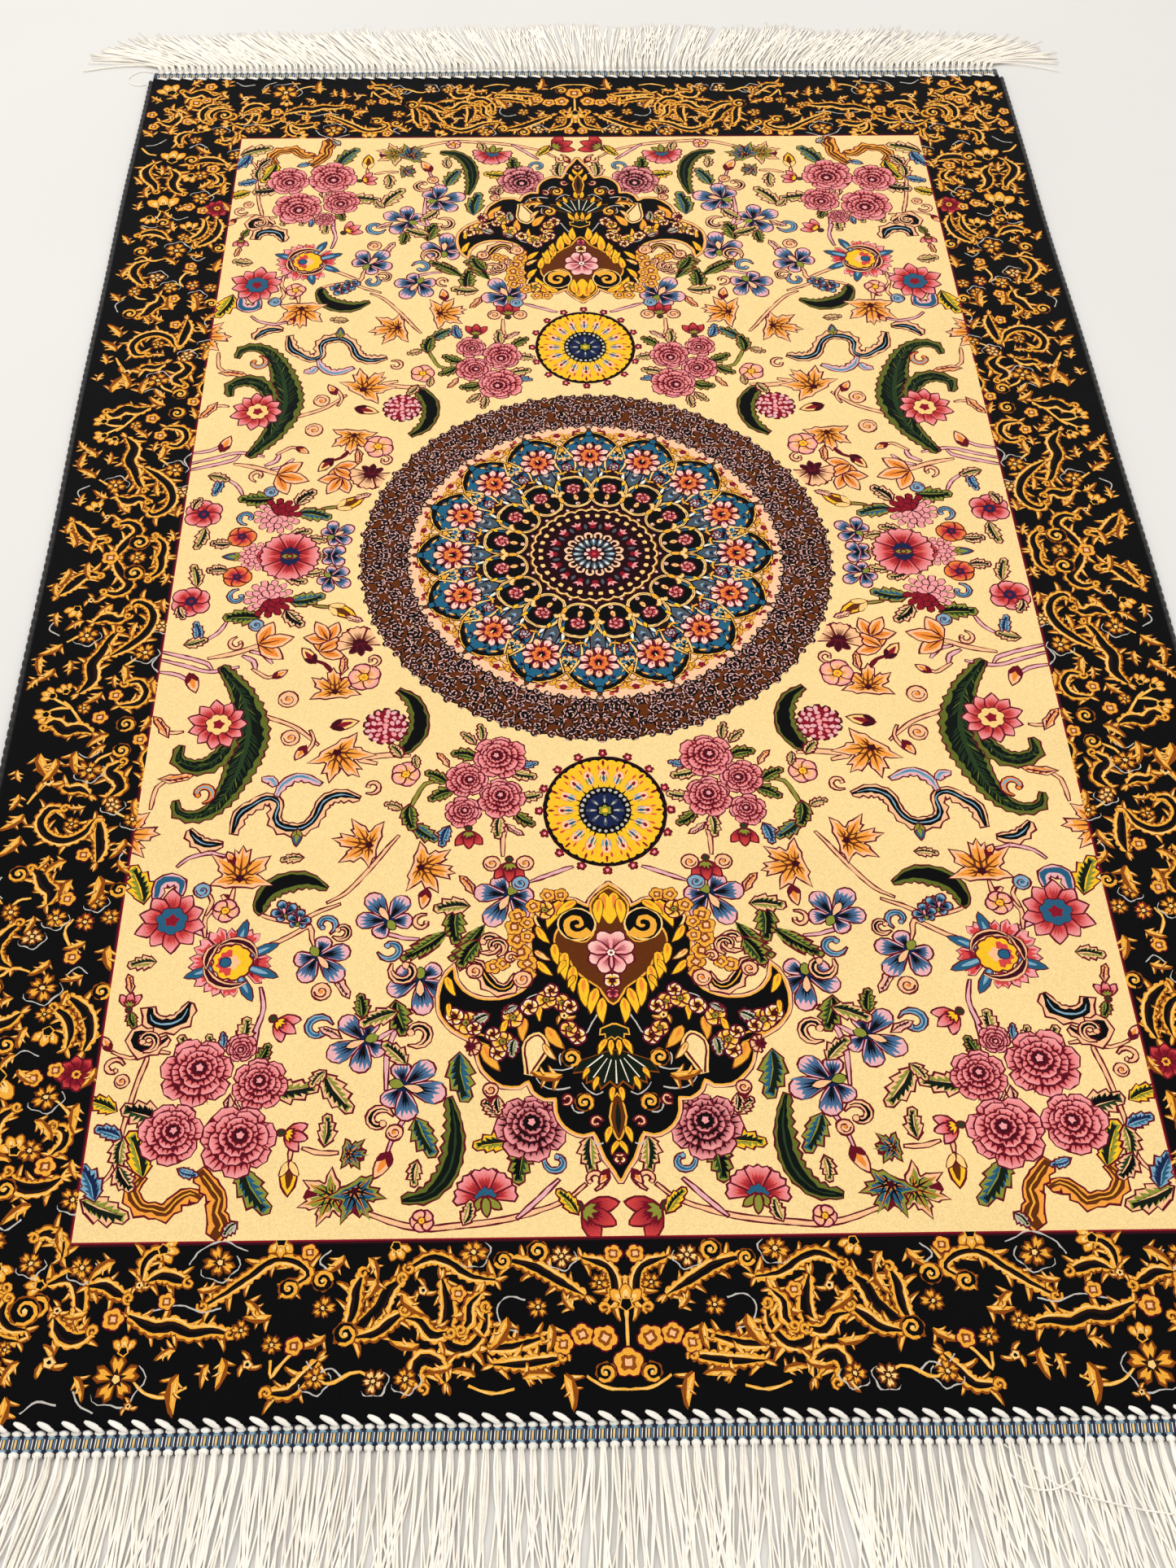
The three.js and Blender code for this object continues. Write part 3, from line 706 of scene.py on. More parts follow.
fieldSickles = (  # widths, body, edge, core, and where each long leaf runs
    ((3, 9, 14, 20, 24, 22, 16, 12, 8, 5, 2), "darkLeaf", "darkOlive", "green", (262+104j, 255+114j,
     246+128j, 240+146j, 238+166j, 241+188j, 247+208j, 257+224j, 268+229j, 278+226j, 281+217j)),
    ((2, 8, 10, 9, 6, 2), "darkLeaf", "darkOlive", "green", (248+160j, 253+176j, 262+187j, 273+189j,
     283+183j, 282+172j)),
    ((1, 7, 11, 11, 8, 3), "black", "darkOlive", None, (177+285j, 189+279j, 203+280j, 214+287j, 219+298j,
     217+303j)),
    ((3, 8, 10, 9, 7, 2), "black", "darkOlive", None, (139+180j, 130+175j, 123+163j, 122+149j, 127+135j,
     137+126j)),
    ((2, 6, 8, 9, 8, 5, 2), "darkLeaf", "darkOlive", "green", (122+492j, 108+489j, 98+478j, 94+465j,
     93+450j, 95+437j, 97+430j)),
    ((2, 6, 6, 5, 5, 6, 5, 4, 5, 6, 6, 2), "black", "peach", "paleBlue", (160+216j, 172+213j, 183+218j,
     188+231j, 196+239j, 209+238j, 214+231j, 213+219j, 221+215j, 230+221j, 238+228j, 241+243j)),
    ((2, 6, 6, 2), "black", "peach", "paleBlue", (247+251j, 258+251j, 265+246j, 269+240j)),
    ((1, 3, 3, 3, 1), "paleBlue", "lilac", "teal", (186+204j, 193+200j, 202+198j, 211+204j, 215+213j)),
    ((2, 3, 1), "paleBlue", "lilac", "teal", (216+205j, 219+200j, 225+200j)),
    ((2, 8, 8, 8, 4), "black", "peach", "paleBlue", (255+366j, 259+376j, 268+380j, 277+377j, 279+369j)),
    ((2, 5, 6, 5, 2), "black", "peach", None, (266+389j, 276+396j, 284+394j, 285+386j, 276+386j)),
    ((2, 5, 5, 3), "teal", "lilac", None, (270+289j, 270+280j, 277+277j, 284+280j, 285+291j)),
    ((3, 5, 6, 5, 6, 3), "brown", "amber", "gold", (236+489j, 242+486j, 249+490j, 255+497j, 262+495j,
     269+494j, 275+485j, 270+476j)),
    ((7, 8, 6, 7, 5), "brown", "amber", "gold", (226+512j, 222+505j, 226+498j, 225+490j, 229+484j,
     238+473j)),
)


def compositeFlower(size):  # a round yellow heart in spiky arcs, with blue straps and red scallops
    layers = []
    for angle in range(0, 360, 30):
        if angle not in (120, 210):
            one = edged(fan(0.5 * size, size * chance.uniform(0.86, 1.0), 27, 2, 0.12), "pink", "maroon", 0.7)
            one.append((crown(0.5 * size, 0.9 * size, 22, 3, 0.15), "coral"))
            one.append((crown(0.5 * size, 0.74 * size, 20, 3, 0.2), "crimson"))
            layers += laid(one, heading=angle)
    for angle in (118, 160, 205, 258, 20):
        layers += laid(edged(petal(1.12 * size, 0.24 * size, 0.7, 0.8), "teal", "maroon", 0.7), heading=angle)
        layers += laid([(petal(0.9 * size, 0.1 * size, 0.7, 0.8), "paleBlue")], heading=angle)
    for near, angle, sweep in ((0.62, 60, 130), (0.56, 250, 120), (0.6, 340, 70)):
        arc = near * size * np.exp(1j * np.radians(np.linspace(angle - sweep / 2, angle + sweep / 2, 9)))
        layers += edged(ribbon(arc, (0.5, 0.2 * size, 0.2 * size, 0.5)), "peach", "maroon", 0.7)
        layers.append((ribbon(arc, (0.3, 0.11 * size, 0.1 * size, 0.3)), "wine"))
    layers += edged(lobed(0.46 * size, 9, 0.12, 3), "yellow", "maroon")
    layers.append((crown(0.1, 0.4 * size, 170, 6, 0.2), "coral"))
    layers.append((lobed(0.2 * size, 5, 0.25, 2), "peach"))
    layers += edged(disc(0.12 * size, 8) + 0.16 * size, "teal", "navy", 0.8)
    return layers


def fieldPattern():
    layers = [(None, "cream")]
    for dye, width, *paths in fieldStems:
        for path in paths:
            layers += stem(path, width, dye)
    for widths, body, edge, core, path in fieldSickles:
        layers += sickle(path, widths, body, edge, core)
    layers += strewn(fieldMotifs) + laid(compositeFlower(27), 232 + 338j)
    return layers + laid(diskPattern(), 227.5j) + cartouchePattern()


def around(layers, reach, angle, spin=0):  # puts a motif at so many mm and degrees from the middle of the rug
    return laid(layers, reach * turned(angle), angle + spin)


def ringed(rows, count, shift=0, step=22.5):  # rows of shape, dye, rim and its width, reach, angle and spin
    layers = []
    for k in range(count):
        for shape, dye, rim, reach, away, spin in rows:
            one = shape() if callable(shape) else edged(shape, dye, *rim) if rim else [(shape, dye)]
            layers += around(one, reach, step * k + shift + away, spin)
    return layers


def arched(tips, valleys, count, shift=0.0, power=1.0, steps=6):  # a round of arches, far at their tips
    share = np.arange(count * 2 * steps) / (2 * steps)
    swell = abs(np.sin(np.pi * share)) ** power
    return (valleys + (tips - valleys) * swell) * np.exp(2j * np.pi * (share + 0.5 + shift) / count)


def scroll(path, width, light="dustyPink", rim=1.6):  # a dark line with short pale strokes along it
    layers = [(ribbon(path, (width + rim, width + rim)), "black")]
    reach = np.concatenate([[0], np.cumsum(abs(np.diff(path)))])
    start, side = chance.uniform(0, 0.6), 1
    while start < reach[-1] - 0.8:
        end = min(start + chance.uniform(2.4, 4.2), reach[-1])
        at = np.linspace(start, end, 4)
        spots = np.interp(at, reach, path.real) + 1j * np.interp(at, reach, path.imag)
        off = 0.45j * side * np.gradient(spots) / abs(np.gradient(spots))
        layers.append((ribbon(spots + off, (0.5 * width, width, 0.5 * width)), light))
        start, side = end + chance.uniform(0.5, 1.0), -side
    return layers


ringHooks = (  # across, reach, radius, turns, start angle
    (8.2, 141.5, 5.4, 1.6, 200), (8.8, 157.5, 5.2, 1.5, 20), (19.4, 148.5, 5.6, 1.7, 110),
    (20.5, 162.5, 3.4, 1.2, 300),
    (2.6, 150.0, 3.0, 1.0, 60), (14.6, 137.5, 2.7, 1.1, 250), (27.6, 139.5, 3.4, 1.3, 80),
    (28.0, 156.5, 3.6, 1.3, 170), (14.4, 164.5, 2.7, 1.0, 90),
)
ringLines = (  # across and reach of each line between the hooks
    ((0, 134.5), (3.2, 137), (2.6, 143), (0.6, 146)), ((0, 168), (4, 165), (3.4, 160), (0.6, 156)),
    ((14.2, 148), (12.6, 153), (14.4, 158), (18, 157)), ((13.6, 145), (13.4, 140), (10, 135), (5, 134.5)),
    ((24.6, 143), (24.6, 135.5), (19, 134), (16, 134.5)), ((26, 147), (24.6, 151), (26.6, 164), (24.6, 167)),
    ((9, 165.5), (5.5, 168.6), (1.5, 167.6)), ((23.6, 166.5), (18, 168.8), (11.4, 168)),
)


def scrollSector(angle, mirror):  # the curls of the brown ring in half a sector, in lines of pale thread
    layers = []
    at = lambda across, reach: reach * turned(angle + mirror * math.degrees(across / reach))
    for across, reach, radius, turns, start in ringHooks:
        curl = spiral(radius, turns, 0.2, max(10, round(10 * turns)))
        curl = curl if mirror > 0 else curl.conj()
        heading = angle + mirror * start
        ground = "brownBlack" if radius > 4 else "black"
        layers += [(lobed(0.62 * radius, 5, 0.2, 3) + at(across, reach), ground)]
        layers += scroll(at(across, reach) + curl * turned(heading), 1.15)
    for line in ringLines:
        layers += scroll(smooth([at(a, r) for a, r in line], 2.6), 0.9)
    dots = ((5.4, 149.2), (24.4, 154.4), (15.8, 142.4), (3.6, 152.8), (22.8, 139.6), (12, 149.6))
    for across, reach in dots:
        stroke = [(petal(3.0, 1.5, 0.5, 0.8, 2) - 1.5, "dustyPink")]
        layers += laid(stroke, at(across, reach), angle + mirror * 40 * across)
    return layers


def brownRing():
    layers = edged(arched(169.2, 165.4, 48, 0, 0.6, 4), "brown", "black", 1.0)
    for k in range(5):
        for mirror in (-1, 1):
            layers += scrollSector(22.5 * k, mirror)
    for k in range(195):  # small strokes between the curls
        reach, angle = chance.uniform(136.5, 166.5), chance.uniform(-2, 92)
        bow = np.array([-1.9, 0.9j, 1.9]) * chance.uniform(0.7, 1.2)
        stroke = scroll(bow, 0.95, "dustyPink" if k % 4 else "palePeach", 1.7)
        layers += around(stroke, reach, angle, chance.choice((0, 80, 150, 210, 300)))
    outer = ((0, 169.2, 3.6), (3.4, 168.6, 2.6), (-3.6, 168.4, 2.8), (7.4, 169.6, 3.2), (-7.2, 169.0, 3.4),
             (11.2, 168.4, 3.0))
    for k in range(5):
        for away, reach, radius in outer:
            curl = [(lobed(0.7 * radius, 5, 0.2, 2), "brown")] + scroll(spiral(radius, 0.9, 0.5, 10), 1.0)
            layers += around(curl, reach, 22.5 * k + away, 80)
    layers += edged(arched(135.8, 132.6, 48, 0, 0.7, 3), "palePeach", "black", 1.2)
    for k in range(5):
        for away, radius in ((0, 2.6), (3.9, 2.2), (-3.7, 2.3), (7.4, 2.6), (-7.6, 2.2), (11.2, 2.4)):
            curl = scroll(spiral(radius, 0.9, 0.5, 7), 0.9, rim=1.2)
            layers += around(curl, 135.0, 22.5 * k + away, 200)
    return layers


def mirrored(path, side):
    return path if side > 0 else path.conj()


def archedRound():  # sixteen arches, each with a flower on blue, and sprigs outside them
    rows = []
    sprig = smooth((-4.5+5j, -1.5+2.6j, 1.6+3j, 2.8+0.4j, 1.2-1.6j), 1.8)
    for side in (-1, 1):
        rows += [(lobed(2.9, 5, 0.35, 3), "crimson", ("maroon", 0.4), 127.4, side * 4.6, 0),
                 (lobed(1.1, 4, 0.3, 2), "coral", None, 127.4, side * 4.6, 0),
                 (ribbon(mirrored(sprig, side), (0.8, 2.2, 1.8, 0.9)), "gold", ("rust", 0.5),
                  123.4, side * 6.7, 0),
                 (petal(4.6, 2.0, 0.5, 0.7, 3), "gold", ("rust", 0.5), 126, side * 8.6, side * 60)]
    rows.append((lobed(2.4, 5, 0.3, 3), "crimson", ("maroon", 0.4), 126.8, 11.25, 0))
    for side in (-1, 1):
        rows.append((petal(5.4, 2.2, 0.5, 0.7, 3), "gold", ("rust", 0.5), 121, 11.25 + side, side * 42))
    layers = ringed(rows, 5)
    for width, dye in ((1.5, "black"), (0.7, "gold"), (0, "black")):
        layers.append((grow(arched(127.6, 112.5, 16, 0, 0.8, 7), width + 0.01), dye))
    corners = ((0, 122.0), (2.6, 119.4), (-2.6, 119.4), (5.6, 114.8), (-5.6, 114.8), (7.4, 92), (-7.4, 92),
               (5.8, 86), (-5.8, 86))
    for k in range(5):
        for turn in range(11):  # blue ground in patches round each flower
            patch = lobed(chance.uniform(4.2, 5.4), 3, 0.2, 3) * turned(360 * chance.random())
            layers += around([(patch + 16.4 * turned(360 * turn / 11 + 4), "blue")], 102.5, 22.5 * k)
        for away, reach in corners:
            layers += around([(lobed(3.5, 3, 0.2, 3) * turned(40 * away), "blue")], reach, 22.5 * k + away)
    rows = [(lobed(2.6, 4, 0.25, 3), "blue", ("black", 0.9), 126.6, 0, 0),
            (petal(3.6, 3.0, 0.3, 0.8, 3), "brown", ("black", 0.5), 129.0, 0, 0)]
    curled = ((2.5, 127.4, 66), (5.2, 124.6, 96), (8.0, 120.2, 60), (9.8, 117.0, 20), (2.0, 122.8, 118),
              (5.6, 118.6, 104), (8.2, 112.6, 128))
    for side in (-1, 1):  # gold leaves that curl along both sides of the arches
        for away, reach, aim in curled:
            for shape, dye in plume(6.4, 0.36, 50 * side, "brown"):
                rows.append((shape, dye, None, reach, away * side, aim * side))
        bead = "crimson" if side > 0 else "coral"
        rows.append((lobed(1.5, 4, 0.25, 2), bead, ("maroon", 0.4), 130.6, 3.4 * side, 0))
    layers += ringed(rows, 5)
    rows = [(petal(15, 10.5, 0.42, 0.7, 5), "brownBlack", ("maroon", 0.6), 80, 0, 0)]
    for side in (-1, 1):  # gold posts between the lobes, and the dark ground they stand on
        post, arm = ([reach * turned(angle * side) for reach, angle in path] for path in (
            ((84, 3.0), (95, 4.5), (104, 3.4), (114, 1.0)), ((87, 1.0), (85.5, 3.6), (87, 6.0), (92, 8.6))))
        rows += [(ribbon(smooth(post, 5), (1.0, 1.5, 1.3, 1.0)), "lightGold", ("brownBlack", 0.6), 0, 0, 0),
                 (ribbon(smooth(arm, 3), (1.5, 1.7, 1.1)), "gold", ("brownBlack", 0.6), 0, 0, 0),
                 (petal(6, 2.4, 0.5, 0.7, 3), "gold", None, 97.5, 1.6 * side, 20 * side),
                 (petal(5, 2.0, 0.5, 0.7, 3), "lightGold", None, 106, 1.4 * side, -24 * side)]
    rows += [(lobed(2.6, 5, 0.3, 2), "gold", ("brownBlack", 0.6), 110.5, 0, 0),
             (lobed(2.2, 4, 0.3, 2), "peach", ("brownBlack", 0.6), 100.5, 0, 0),
             (lambda: daisy(3.6, 6, "silver", "paleBlue", "navy", "white", 0.36, 0.6), "", None, 91.5, 0, 0)]
    layers += ringed(rows, 4, 11.25)
    # dark leaves that break up the blue round each flower, then the flower and the shield under it
    rows = [(lobed(2.0, 4, 0.4, 2) + 16.6 * turned(72 * turn + 36), "navy", None, 102.5, 0, 0)
            for turn in range(5)]
    rows.append((lambda: medallionFlower(12.6), "", None, 102.5, 0, 0))
    for away in (-4.5, 4.5):
        rows += [(petal(8, 3.4, 0.5, 0.7, 3), "navy", None, 84, away, -away * 3),
                 (petal(5, 1.6, 0.5, 0.7, 3) + 1, "paleBlue", None, 84, away, -away * 3)]
    shield = np.array([0, 5 - 4.6j, 15 - 4.8j, 13, 15 + 4.8j, 5 + 4.6j])
    rows.append((shield, "slate", ("maroonBlack", 0.9), 74.5, 0, 0))
    for reach, dye in ((1.0, "teal"), (5.6, "paleBlue"), (8.6, "navy"), (11.2, "silver")):
        rows.append((np.array([0, 3.4 - 3j, 3.2, 3.4 + 3j]) * 0.8 + reach, dye, None, 74.5, 0, 0))
    for side in (-1, 1):
        rows.append((petal(7, 2.2, 0.4, 0.7, 3), "white", None, 79, 5.0 * side, 12 * side))
    return layers + ringed(rows, 5)


def darkCells():  # a round of dark cells inside the arches, each with its flower
    layers = [(arched(57, 49, 16, 0.0, 4.0, 5), "maroonBlack")]
    layers += ringed([(disc(1.2, 6), "palePink", ("wine", 0.4), 47.6, 0, 0)], 5)
    cell = smooth((50.2, 51.6+5.8j, 55.6+9.6j, 61+11.4j, 67+12.2j, 72.5+11.6j, 77+8.8j, 79.4+4.6j, 79.8), 3.4)
    cell = np.concatenate([cell, cell[-2:0:-1].conj()])
    bands = ((2.3, "brownBlack"), (1.6, "lightGold"), (0.75, "rust"), (0.3, "lightGold"), (-0.35, "black"))
    rows = [(grow(cell, width), dye, None, 0, 0, 0) for width, dye in bands]
    for side in (-1, 1):
        edge = np.array([66 + 9.6j * side, 71 + 10j * side, 76 + 8.8j * side])
        rows += [(ribbon(edge, (0.6, 1.8, 0.5)), "teal", None, 0, 0, 0),
                 (petal(5.4, 2.6, 0.45, 0.7, 3), "yellow", ("black", 0.4), 73 + 9.4j * side, 0, 14 * side)]
    rows += [(lambda: daisy(5.2, 6, "palePink", "coral", "crimson", "pink", 0.26, 0.7), "", None, 68, 0, 0),
             (petal(5.5, 3, 0.4, 0.7, 3), "lightGold", ("rust", 0.6), 56.6, 0, 0),
             (petal(2.2, 1.4, 0.4, 0.7, 2), "coral", None, 58.4, 0, 0),
             (disc(1.5, 7), "palePink", ("rust", 0.4), 52.6, 0, 0), (disc(0.6, 5), "black", None, 52.6, 0, 0)]
    layers += ringed(rows, 4, 11.25)
    rows = [(petal(9, 3.4, 0.35, 0.8, 4), "gold", ("brownBlack", 0.6), 55.6, 0, 0)]
    knot = smooth((0, 2.0+1.4j, 4.0+3.4j, 2.4+4.6j), 1.6)
    for side in (-1, 1):  # gold knots where two cells meet
        rows.append((ribbon(mirrored(knot, side), (2.4, 2.6, 2.0)), "lightGold", ("rust", 0.5), 62.6, 0, 0))
    return layers + ringed(rows, 5)


def heartRings():  # the rings of small shapes round the middle of the rug
    layers = []
    for width, dye in ((2.2, "rust"), (1.5, "lightGold"), (0.2, "maroonBlack")):
        layers.append((grow(arched(44.6, 42.4, 32, 0, 0.9, 4), width), dye))
    bead = np.array([-1.5 - 1.3j, -1.5 + 1.3j, 1.2 + 1.9j, 1.9, 1.2 - 1.9j])
    layers += ringed([(bead, "lightGold", ("wine", 0.4), 38.6, 0, 0)], 10, -5.625, 11.25)
    layers += ringed([
        (petal(6, 4.4, 0.4, 0.7, 3), "crimson", None, 25.6, 0, 0),
        (lambda: edged(crown(0.1, 5.2, 150, 3, 0.5), "pink", "wine", 0.3), "", None, 29.2, 0, 0),
        (petal(3.2, 1.2, 0.5, 0.7, 2), "coral", None, 28.6, 0, 0),
        (petal(5.6, 2.6, 0.5, 0.8, 3), "slate", None, 25.0, 11.25, 0)], 5)
    horseshoe = smooth((-2.6-1.7j, 0.6-2.4j, 2.4, 0.6+2.4j, -2.6+1.7j), 1.6)
    layers += ringed([(ribbon(horseshoe, (1.3, 2.1, 1.3)), "palePeach", None, 18.6, 0, 0)], 6, -11.25)
    layers += ringed([
        (petal(8.4, 4.4, 0.66, 0.6, 3), "slate", None, 7.2, 0, 0),
        (petal(6.0, 2.6, 0.7, 0.6, 3), "paleBlue", None, 9.0, 0, 0),
        (petal(3.6, 1.2, 0.6, 0.6, 2), "white", None, 11.2, 0, 0),
        (petal(6.4, 1.6, 0.66, 0.6, 2), "black", None, 8.2, 11.25, 0)], 5)
    layers.append((disc(8.2, 16), "black"))
    layers += ringed([(petal(3.6, 3.1, 0.6, 0.6, 3), "palePink", ("wine", 0.4), 3.6, 0, 0)], 8, 0, 45)
    return layers + edged(lobed(4.2, 8, 0.12, 3), "crimson", "wine", 0.4) + [(lobed(2.2, 4, 0.6, 2), "coral")]


def medallionPattern():
    return [(None, "cream")] + brownRing() + archedRound() + darkCells() + heartRings()


def medallionFlower(size):
    layers = []
    for k in range(6):  # black tendrils in the blue, and two gold ones
        curl = mirrored(spiral(3.0, 0.9, 0.4, 7), k % 2) * turned(60 * k)
        dye = "lightGold" if k in (1, 4) else "black"
        layers.append((ribbon(curl + 1.36 * size * turned(60 * k + 30), (0.6, 1.0, 0.5)), dye))
    layers.append((lobed(0.9 * size, 10, 0.1, 3), "maroon"))
    for k in range(10):
        reach = chance.uniform(0.5, 0.62) * size
        shape = petal(reach, chance.uniform(0.34, 0.42) * size, 0.6, 0.66, 4)
        one = edged(shape, "palePink" if k % 3 else "palePeach", "maroon", 0.8)
        one += [(petal(0.3 * size, 0.13 * size, 0.4, 0.8, 2), "coral")]
        layers += laid(one, 0.56 * size * turned(36 * k), 36 * k + chance.uniform(-8, 8))
    heart = faded("coral", "orange", 0.15 * size, 0.5 * size)
    layers += edged(lobed(0.56 * size, 7, 0.2, 3), heart, "maroon", 0.5)
    layers += [(burst(0.22 * size, 0.46 * size, 9), "crimson"), (lobed(0.24 * size, 5, 0.4, 2), "black")]
    layers.append((petal(0.3 * size, 0.1 * size, 0.6, 0.6, 3), "lightGold"))
    return layers


def diskPattern():  # the yellow disk between the medallion and the cartouche, its middle at 0
    egg = lambda layers: [(shape.real * 0.97 + 1.06j * shape.imag, dye) for shape, dye in layers]
    rows = [(petal(12.5, 7.6, 0.62, 0.62, 5) - 0.5, "orange", 20.0),
            (petal(11.6, 6.6, 0.62, 0.62, 5), "palePeach", 20.0),
            (petal(6.6, 2.0, 0.5, 0.7, 3) + 1.0, "teal", 20.0),
            (petal(3.4, 2.6, 0.5, 0.7, 3) + 6.6, "crimson", 20.0),
            (petal(5.4, 1.1, 0.5, 0.7, 3) + 1.5 + 2.2j, "olive", 20.0),
            (petal(5.4, 1.1, 0.5, 0.7, 3) + 1.5 - 2.2j, "paleBlue", 20.0),
            (petal(5.0, 2.0, 0.5, 0.7, 3) + 13.4, "crimson", 20.0)]
    rows = [(shape, dye, None, reach, 0, 0) for shape, dye, reach in rows]
    rows += [(petal(4.4, 1.4, 0.5, 0.7, 3), "coral", None, 30.4, away, 0) for away in (-5.6, 5.6)]
    layers = egg([(disc(41.4, 64), "wine"), (arched(41.0, 39.4, 48, 0, 0.7, 3), "black"),
                  (arched(38.8, 37.6, 40, 0, 0.7, 3), "yellow")] + ringed(rows, 16))
    layers += egg([(burst(16.0, 21.4, 32), "black"), (disc(17.6, 24), "black")]
                  + [(disc(1.25, 5) + 15.4 * turned(15 * k), "silver") for k in range(24)]
                  + [(lobed(13.4, 16, 0.1, 3), "navy")])
    layers += ringed([(petal(6.6, 2.6, 0.6, 0.6, 3), "slate", None, 5.6, 0, 0),
                      (petal(4, 1.2, 0.6, 0.6, 3), "silver", None, 5.6, 0, 0)], 8, 0, 45)
    layers += edged(lobed(4.6, 6, 0.3, 3), "olive", "black") + [(lobed(2.2, 5, 0.3, 2), "yellow")]
    return layers + egg(ringed([(lobed(3.0, 5, 0.35, 3), "crimson", ("wine", 0.5), 43.8, 0, 0),
                                (lobed(1.3, 4, 0.3, 2), "pink", None, 43.8, 0, 0)], 17))


cartoucheBody = (
    -6+481j, 481j, 2.5+476j, 7.7+468j, 11.5+457j, 14+452j, 20+453.5j, 27+451j, 33+444j, 35+435j, 35+430.5j,
    42+430.5j, 48+426j, 51+419j, 56.5+422.5j, 66+422j, 74+416j, 79+408j, 80+398j, 74+396j, 84+392j,
    95+385.5j, 102.5+376j, 104+363j, 101.5+352j, 96.5+344j, 95.5+351j, 90+360j, 82+365j, 73+366.5j,
    63+365j, 54+360.5j, 48+353j, 46+345j, 48+333j, 48.5+320j, 47.5+309j, 44+301j, 37+297j, 29+295.5j,
    21+297j, 12.5+302j, 10.5+296j, 6+290.5j, 285j, -6+285j,
)
cartoucheHeart = (
    -6+369j, 369j, 4+365j, 7+359j, 12+354.5j, 18+350j, 23+344j, 25+338.5j, 30+335j, 33.5+329j, 33.5+321j,
    30+316.5j, 27+323j, 18+327j, 12+324j, 9.5+317j, 10.5+308j, 11+300j, 8.5+295j, 5+291j, 287.5j,
    -6+287.5j,
)
cartoucheMotifs = (
    ("flame", 4+301j, 24, 84), ("flame", 8+303j, 18, 74), ("flame", 8+373j, 17, 76),
    ("flame", 13+366j, 18, 62), ("flame", 18.5+360j, 20, 78), ("flame", 25+351j, 18, 74),
    ("flame", 30+342j, 19, 76), ("flame", 35+334j, 15, 84), ("flame", 31+343j, 10, 50),
    ("flame", 25+353j, 9, 48), ("flame", 43+321j, 14, 110), ("flame", 35+304j, 22, 50),
    ("flame", 27+300j, 16, 25), ("yellowFlower", 40+303j, 6, 20), ("flame", 42+345j, 13, 120),
    ("paleFlame", 43+336j, 11, 130), ("cartoucheFlower", 334j, 15.5, 14), ("whiteFlower", 353.5j, 5, 90),
    ("redFlower", 362j, 3.4, 90), ("goldRing", 29.5+377j, 6), ("yellowFlower", 31+368.5j, 5.2, 30),
    ("yellowFlower", 40+366j, 6, 70), ("whiteFlower", 26+371j, 4.2, 10), ("whiteFlower", 37+360j, 4, 50),
    ("flame", 45+375j, 10, 75), ("flame", 52+352j, 9, 100), ("goldFlame", 55+385j, 15, 72),
    ("whiteFlower", 50+371j, 5), ("yellowFlower", 60+378j, 6, 40), ("flame", 66+384j, 11, 60),
    ("silverLeaf", 62+372j, 9, 20), ("yellowFlower", 88+381j, 7, 10), ("whiteFlower", 95+377j, 5.4, 50),
    ("flame", 99+372j, 9, 80), ("silverLeaf", 80+378j, 12, 20), ("whiteFlower", 83+385j, 4.2, 50),
    ("flame", 99+356j, 14, 100), ("goldFlame", 75+404j, 19, 105), ("carnation", 83+397j, 4, 180),
    ("whiteFlower", 69+401j, 4.6, 20), ("yellowFlower", 66+394j, 6.5, 60), ("silverLeaf", 61+398j, 12, 70),
    ("whiteFlower", 72+389j, 4, 20), ("paleFlame", 40+401j, 12, 110), ("goldFlame", 37+392j, 17, 112),
    ("whiteFlower", 22+391j, 5, 80), ("yellowFlower", 27+386j, 5, 30), ("goldLeaf", 31+417j, 21, 10),
    ("volute", 26+405j, 5.4, 90), ("volute", 19+433.5j, 5.2, 120), ("peachHook", 29+431.5j, 3.4, 60),
    ("peachHook", 12.5+446j, 3.4, 200), ("flame", 12.5+421j, 9, 60), ("flame", 18+414.5j, 8, 50),
    ("flame", 6.5+453j, 10, 60), ("whiteFlower", 468.5j, 3, 90), ("flame", 3+461j, 9, 50),
    ("flame", 3.4+428j, 9, 70), ("flame", 8+397j, 11, 50), ("flame", 3+398j, 10, 76),
    ("snail", 64+372.5j, 0.1), ("goldLump", 51+341j, 6, 40), ("goldLump", 55+333j, 6, 10),
    ("goldLump", 57.5+324j, 6.4, 60), ("goldLump", 59+315j, 5.8, 90), ("goldLump", 57+307j, 5.4, 20),
    ("goldLump", 51+322j, 4.4, 80), ("goldLump", 51+312j, 4.4, 50), ("goldLump", 47+300j, 5, 30),
    ("goldLump", 30+292j, 4.6), ("goldLump", 38+292j, 4.6, 40), ("goldLump", 51+349j, 5),
    ("snail", 54+352j, 5.4), ("snail", 83+346j, 4.6, 60), ("goldLump", 72+343j, 5, 10),
    ("goldLump", 66+341j, 4.4, 50), ("peachHook", 61+337j, 4, 200), ("greenLeaf", 88+333j, 22, 52),
    ("blackHook", 70+329j, 6.5, 100), ("peachHook", 15+481j, 6, 100), ("peachBud", 9+479j, 9, 60),
    ("snail", 73+425j, 4), ("darkLeaf", 70+435j, 11, 80),
)
cartoucheLines = (  # dye, width, and where the silver and gold scrolls run
    ("silver", 0.8, (27+424j, 34+425.5j, 42+423.5j, 46.5+418j), (25+411j, 31+413j, 37+412.5j)),
    ("silver", 0.9, (16+436j, 20+440j, 25+439j, 26.5+433j)),
    ("silver", 0.8, (9+459j, 13+460j, 14+457j), (32+410j, 33+406j, 32+402j), (20+395j, 23+390j, 22+386j),
     (66+406j, 70+404j, 72+400j), (44+362j, 50+364j, 55+369j), (8+427j, 12+429j, 17+426j, 20+421j)),
    ("silver", 0.9, (9+375j, 13+382j, 16+388j, 20+391j)), ("gold", 1.6, (72+392j, 80+389j, 88+390j)),
    ("lightGold", 1.4, (42+318j, 46+309j, 43+302j)),
)


